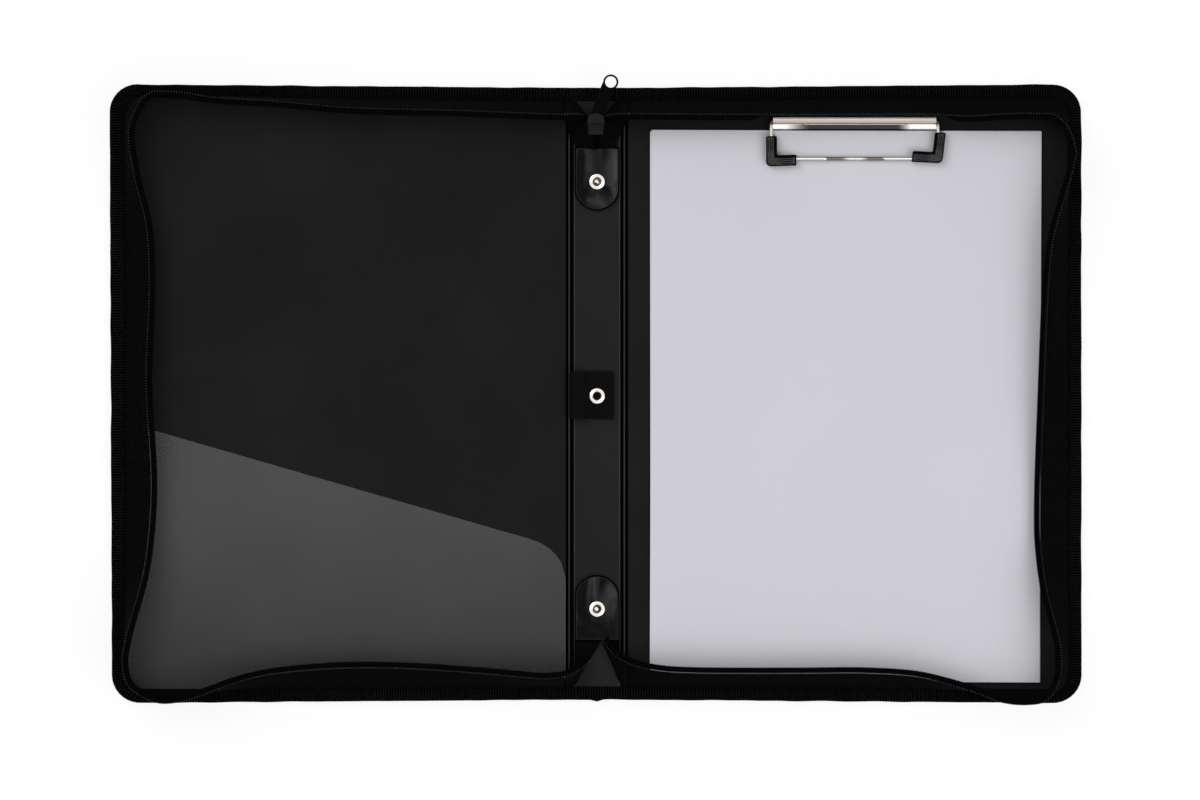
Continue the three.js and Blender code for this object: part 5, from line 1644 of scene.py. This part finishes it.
# %% [markdown]
# Each grip is a moulded black L with a paler inset on it, painted as the highlight of its rounded top. Fine
# slots run along both arms, so that fingers don't slip. The two grips have been pushed on unevenly, so each
# has its own shifts and tilts.

# %% Grips
GRIP_WALL, GRIP_ROUND = 5.9, 2.6
GRIP_RIM, GRIP_INNER_RIM = 0.75, 1.5
GRIP_OFFSETS = {"left": (-1.0, -2.4, 0.0, -2.4), "right": (0.7, -0.6, -0.4, 1.7)}
GRIP_TILTS = {"left": (0.1, 0.5), "right": (1.9, 0.8)}
SLOT_PITCH, SLOT_START, SLOTS = 1.0, 1.3, 4


def grip_point(grip, along_foot, up_leg):
    """A place on a grip from its outer bottom corner, with the leg leaned out and the foot's end lifted."""
    side, outer, inner, foot, leg_top, lean, lift = grip
    return (outer - side * along_foot + side * lean * up_leg / (leg_top - foot),
            foot + up_leg + lift * along_foot / abs(outer - inner))


def grip_outline(grip, rim, inner_rim):
    """The L of a grip, drawn in by a rim and, on the inner side of its bend, by another one."""
    side, outer, inner, foot, leg_top, lean, lift = grip
    length, height, wall = abs(outer - inner) - rim, leg_top - foot - rim, GRIP_WALL - inner_rim
    turns = np.linspace(0, math.pi / 2, 8)
    places = [(rim, height)]
    radius = GRIP_ROUND - rim
    places += [(GRIP_ROUND - radius * math.cos(turn), GRIP_ROUND - radius * math.sin(turn)) for turn in turns]
    places += [(length, rim), (length, wall), (wall, wall), (wall, height)]
    return [grip_point(grip, *place) for place in places]


for name, side in (("left", -1), ("right", 1)):
    low, high = box_mm(f"bail_grip_{name}")
    foot_shift, leg_shift, outer_shift, inner_shift = GRIP_OFFSETS[name]
    outer = (low.x if side < 0 else high.x) + outer_shift
    inner = (high.x if side < 0 else low.x) + inner_shift
    grip = (side, outer, inner, low.y + foot_shift, high.y + leg_shift, *GRIP_TILTS[name])
    shell = plate(f"clip_grip_{name}", grip_outline(grip, 0, 0), low.z, high.z, 0.7, 4)
    finish_piece(shell, PULLER_PAINT, "clip_bail", [f"bail_grip_{name}"])
    # The paler inset is painted as the highlight of the grip's rounded top.
    outline = grip_outline(grip, GRIP_RIM, GRIP_INNER_RIM)
    lit_panel = plate(f"clip_grip_{name}_panel", outline, high.z - 0.4, high.z + 0.1)
    finish_piece(lit_panel, GRIP_HIGHLIGHT_PLASTIC, "clip_bail")
    length, height = abs(outer - inner), grip[4] - grip[3]
    slots = []
    for k in range(SLOTS):
        step = SLOT_START + SLOT_PITCH * k
        slots.append((grip_point(grip, step, GRIP_WALL + 1), grip_point(grip, step, height - 1.4)))
        slots.append((grip_point(grip, GRIP_WALL + 1, step), grip_point(grip, length - 1.6, step)))
    for number, ends in enumerate(slots):
        way = np.array(ends[1]) - ends[0]
        centre = (np.array(ends[1]) + ends[0]) / 2
        along = unit(np.array([[*way, 0]]))[0]
        turned = [along, np.cross((0, 0, 1), along), (0, 0, 1)]
        slot = bead_row(f"clip_grip_{name}_slot_{number + 1}", [(*centre, high.z + 0.1)], [turned],
                        (np.linalg.norm(way), 0.42, 0.2), 16, 8)
        finish_piece(slot, PULLER_PAINT, "clip_bail")
print("two grips")

# %% [markdown]
# ## Slider and puller
# The slider is cast: two house-shaped plates with a wedge between them that parts the teeth, and a wide
# bridge on top, which has the same round roof. The puller hangs under the bridge by a slot.

# %% Slider
slider_low, slider_high = box_mm("zip_slider")
slider_y = (slider_low.y + slider_high.y) / 2
SHIELD_PLATE = 0.9
SHIELD_THROAT = 1.6
SHIELD_WIDE = slider_high.x - slider_low.x
SHIELD_HALVES = ((0.0, 0.76), (0.03, 0.8), (0.3, 0.88), (0.48, 0.97), (0.6, 1.0), (0.75, 0.97), (0.86, 0.83),
                 (0.94, 0.58), (0.985, 0.3), (1.0, 0.04))
BRIDGE_FROM = 0.4
BRIDGE_LEG = 1.4
BRIDGE_HALF = 3.2
BRIDGE_THICK = 0.9
WEDGE_HALF, WEDGE_FROM, WEDGE_TO = 1.5, -1.4, 4.6
LETS_IN = 0.1


def quad_curve(start, bend, end, steps=10):
    shares = np.linspace(0, 1, steps)[:, None]
    start, bend, end = (np.array(point, float) for point in (start, bend, end))
    return ((1 - shares) ** 2 * start + 2 * shares * (1 - shares) * bend + shares ** 2 * end).tolist()


def shield():
    """A house with a round roof: shares of the slider's length, each with its share of the half width."""
    stops = [(SHIELD_WIDE / 2 * half, slider_low.y + (slider_high.y - slider_low.y) * share, 0)
             for share, half in SHIELD_HALVES]
    right = smooth_curve(stops, np.linspace(0, len(stops) - 1, 40))
    return [(SLIDER_X + x, y) for x, y, z in right] + [(SLIDER_X - x, y) for x, y, z in right[::-1]]


for name, bottom in (("lower", slider_low.z), ("upper", slider_low.z + SHIELD_PLATE + SHIELD_THROAT)):
    part = plate(f"slider_{name}_plate", shield(), bottom, bottom + SHIELD_PLATE, 0.35, 4)
    finish_piece(part, SLIDER_PAINT, "slider", ["zip_slider"] if name == "upper" else ())
wedge = [(SLIDER_X, slider_y + WEDGE_FROM), (SLIDER_X + WEDGE_HALF, slider_y + WEDGE_TO),
         (SLIDER_X - WEDGE_HALF, slider_y + WEDGE_TO)]
throat_low = slider_low.z + SHIELD_PLATE
core = plate("slider_wedge", wedge, throat_low - LETS_IN, throat_low + SHIELD_THROAT + LETS_IN)
finish_piece(core, SLIDER_PAINT, "slider")
bridge_base = slider_low.z + 2 * SHIELD_PLATE + SHIELD_THROAT
bridge_roof = [(x, y) for x, y in shield() if y > slider_y + BRIDGE_FROM]
roof = plate("slider_bridge_roof", bridge_roof, slider_high.z - BRIDGE_THICK, slider_high.z, 0.3, 4)
leg_corners = [(SLIDER_X + x * BRIDGE_HALF, slider_y + BRIDGE_FROM + y * BRIDGE_LEG)
               for x, y in ((-1, 0), (1, 0), (1, 1), (-1, 1))]
leg = plate("slider_bridge_leg", leg_corners, bridge_base - LETS_IN, slider_high.z - 0.2, 0.2)
for part in (roof, leg):
    finish_piece(part, SLIDER_PAINT, "slider")
print("slider", round(SHIELD_WIDE, 1), "mm wide")

# %% [markdown]
# A plate with holes can be cut with booleans, but those leave messy rims. Here the space between the
# outline and the holes is filled once and raised, so that every rim is clean and takes a bevel.


# %% Plates with holes
def pierced_plate(name, outline, holes, bottom, top, bevel):
    """A flat plate with holes: both faces are filled between the loops and the loops get walls."""
    mesh = bmesh.new()
    loops = []
    for loop in [outline] + holes:
        verts = [mesh.verts.new(Vector((x, y, bottom)) * MM) for x, y in loop]
        loops += [mesh.edges.new((verts[k], verts[(k + 1) % len(verts)])) for k in range(len(verts))]
    filled = bmesh.ops.triangle_fill(mesh, use_beauty=True, use_dissolve=True, edges=loops)
    faces = [item for item in filled["geom"] if isinstance(item, bmesh.types.BMFace)]
    raised = bmesh.ops.extrude_face_region(mesh, geom=faces)
    moved = [item for item in raised["geom"] if isinstance(item, bmesh.types.BMVert)]
    bmesh.ops.translate(mesh, verts=moved, vec=(0, 0, (top - bottom) * MM))
    bmesh.ops.recalc_face_normals(mesh, faces=mesh.faces)
    data = bpy.data.meshes.new(name)
    mesh.to_mesh(data)
    mesh.free()
    piece = bpy.data.objects.new(name, data)
    bpy.context.scene.collection.objects.link(piece)
    round_rims(piece, bevel, 3)
    return piece


print("plates can have holes")

# %% [markdown]
# The puller is a flat bar that widens into a thin round eye. It lies turned to the right, as somebody has
# left it. Its outline is drawn along its own axis and turned into place, with the eye and the slot cut out.

# %% Puller
puller_low, puller_high = box_mm("zip_puller")
PULLER_YAW = math.radians(-23.8)
PULLER_LENGTH = 19.9
PULLER_HALF = 3.8
PULLER_WAIST = 3.4
PULLER_NECK = 3.2
EYE_RADIUS = 4.1
EYE_HOLE = 3.05
WAIST_ENDS, WIDENS_AT = 0.35, 0.55
CROWN_PAST = 0.35
PIVOT = (SLIDER_X, slider_y + 4.4)


def puller_place(x, y):
    """From the puller's own axes to the folder's."""
    turned_x = x * math.cos(PULLER_YAW) - y * math.sin(PULLER_YAW)
    turned_y = x * math.sin(PULLER_YAW) + y * math.cos(PULLER_YAW)
    return PIVOT[0] + turned_x, PIVOT[1] + turned_y


def eye_arc(radius, start, end, steps):
    return [(radius * math.cos(turn), PULLER_LENGTH + radius * math.sin(turn))
            for turn in np.linspace(start, end, steps)]


shoulder = PULLER_LENGTH - EYE_RADIUS * 0.95
right_side = [(PULLER_NECK - 1.0, -0.9), (PULLER_NECK, 0.1), (PULLER_WAIST, 1.6),
              (PULLER_WAIST, PULLER_LENGTH * WAIST_ENDS)]
bend = (PULLER_WAIST, PULLER_LENGTH * WIDENS_AT)
right_side += quad_curve(right_side[-1], bend, (PULLER_HALF, shoulder - 1.2))[1:]
crown = eye_arc(EYE_RADIUS, -CROWN_PAST, math.pi + CROWN_PAST, 40)
outline = right_side + crown + [(-x, y) for x, y in reversed(right_side)]
hole = eye_arc(EYE_HOLE, 0, math.tau, 49)[:-1]
slot = [(-1.2, 0.2), (1.2, 0.2), (1.2, 1.6), (-1.2, 1.6)]


puller = pierced_plate("zip_pull_tab", [puller_place(*point) for point in outline],
                       [[puller_place(*point) for point in loop] for loop in (hole, slot)],
                       puller_low.z, puller_high.z, 0.22)
finish_piece(puller, PULLER_PAINT, "puller", ["zip_puller"])
print("puller with a hole of", 2 * EYE_HOLE, "mm")

# %% [markdown]
# Behind the slider the teeth are closed into a chain, which runs down under the head tab. The two rows
# mesh: each turn of one side lies between two turns of the other. A fringe of tape runs along both sides.

# %% Closed chain
CHAIN_TOOTH = (2.4, 0.85, 1.9)
CHAIN_APART = 0.75
FRINGE_SECTION = ((0.9, 0.2), (3.5, -0.4), (3.5, -1.0), (0.9, -0.4))
chain_low, chain_high = box_mm("zip_chain_head")
chain_stops = [(SLIDER_X, chain_high.y + 1.5, chain_high.z - 1.5), (SLIDER_X, chain_high.y - 1.5, 8.2),
               (SLIDER_X, chain_low.y + 2.2, 6.4), (SLIDER_X, chain_low.y, 5.9)]
chain_line = smooth_curve(chain_stops, np.linspace(0, len(chain_stops) - 1, 40))
chain_even, chain_length = evenly(chain_line, TOOTH_PITCH / 2)
centres, frames = [], []
for number, (point, way) in enumerate(zip(chain_even, unit(np.gradient(chain_even, axis=0)))):
    side = -1 if number % 2 else 1
    centres.append(point + np.array([side * CHAIN_APART, 0, 0]))
    frames.append([(1, 0, 0), way, np.cross((1, 0, 0), way)])
chain = bead_row("closed_chain", centres, frames, CHAIN_TOOTH, 6, 8)
finish_piece(chain, COIL_NYLON, "spine", ["zip_chain_head"])
for side in (-1, 1):
    rings = [[(SLIDER_X + side * out, y, z + lift) for out, lift in FRINGE_SECTION] for x, y, z in chain_line]
    fringe = rings_to_piece("chain_tape_" + ("left" if side < 0 else "right"), rings)
    finish_piece(fringe, TAPE_YARN, "spine")
print("closed chain of", round(chain_length[-1]), "mm")

# %% [markdown]
# ## Clear pocket
# The pocket is one frosted sheet on the inside of the front cover. It is welded to the lining along the
# foot and the outer side, and its open edge falls toward the spine. It isn't flat: gentle waves run out
# of the welded corners. A grid that follows the pocket's outline can carry them.

# %% Pocket
pocket_low, pocket_high = box_mm("clear_pocket")
POCKET_SHORT, POCKET_TALL = 73.7, 142.0
POCKET_SLOPE = (POCKET_TALL - POCKET_SHORT) / (HALF_WIDTH - BINDING_WIDTH - 0.3 - COVER_START)
POCKET_LOW_EDGE = pocket_low.y + 1.8 + POCKET_SHORT
POCKET_CORNER, POCKET_CORNER_DROP = 20.8, 15.6
POCKET_GAP = 0.4
POCKET_WAVE = 0.16
COLUMNS, ROWS = 96, 60


def pocket_edge(x):
    """Height of the open edge at a distance from the spine; the corner by the spine is rounded off."""
    across = -x - COVER_START
    straight = POCKET_LOW_EDGE + POCKET_SLOPE * across
    if across < POCKET_CORNER:
        share = 1 - across / POCKET_CORNER
        straight -= POCKET_CORNER_DROP * (1 - math.sqrt(max(1 - share ** 2.4, 0)))
    return straight


def pocket_foot(x):
    """The foot edge, which follows the binding round the outer corner."""
    foot = -(half_height_at(x) - BINDING_WIDTH - POCKET_GAP)
    past = -x - CORNER_X
    if past > 0:
        radius = INNER_RADIUS - POCKET_GAP
        foot = -CORNER_Y - math.sqrt(max(radius ** 2 - min(past, radius) ** 2, 0))
    return foot


columns = [-COVER_START - (-COVER_START - pocket_low.x) * share for share in np.linspace(0, 1, COLUMNS)]
points, faces = [], []
for x in columns:
    for row in range(ROWS):
        share = row / (ROWS - 1)
        y = pocket_foot(x) + (pocket_edge(x) - pocket_foot(x)) * share
        wave = noise.noise(Vector((x * 0.018, y * 0.03, 5)))
        wave += 0.4 * noise.noise(Vector((x * 0.06, y * 0.05, 1)))
        loose = min(share * 3, 1) * min((-COVER_START - x) / 15 + 0.3, 1) * min((x - pocket_low.x) / 20, 1)
        points.append((x, y, pocket_high.z - 0.1 + POCKET_WAVE * (wave + 0.6) * loose))
for column in range(COLUMNS - 1):
    for row in range(ROWS - 1):
        corner = column * ROWS + row
        faces.append((corner, corner + 1, corner + ROWS + 1, corner + ROWS))
pocket = new_piece("clear_document_pocket", points, faces)
finish_piece(pocket, POCKET_CLEAR, "front_cover", ["clear_pocket"])
print("pocket from", round(columns[-1]), "to", round(columns[0]), "mm")
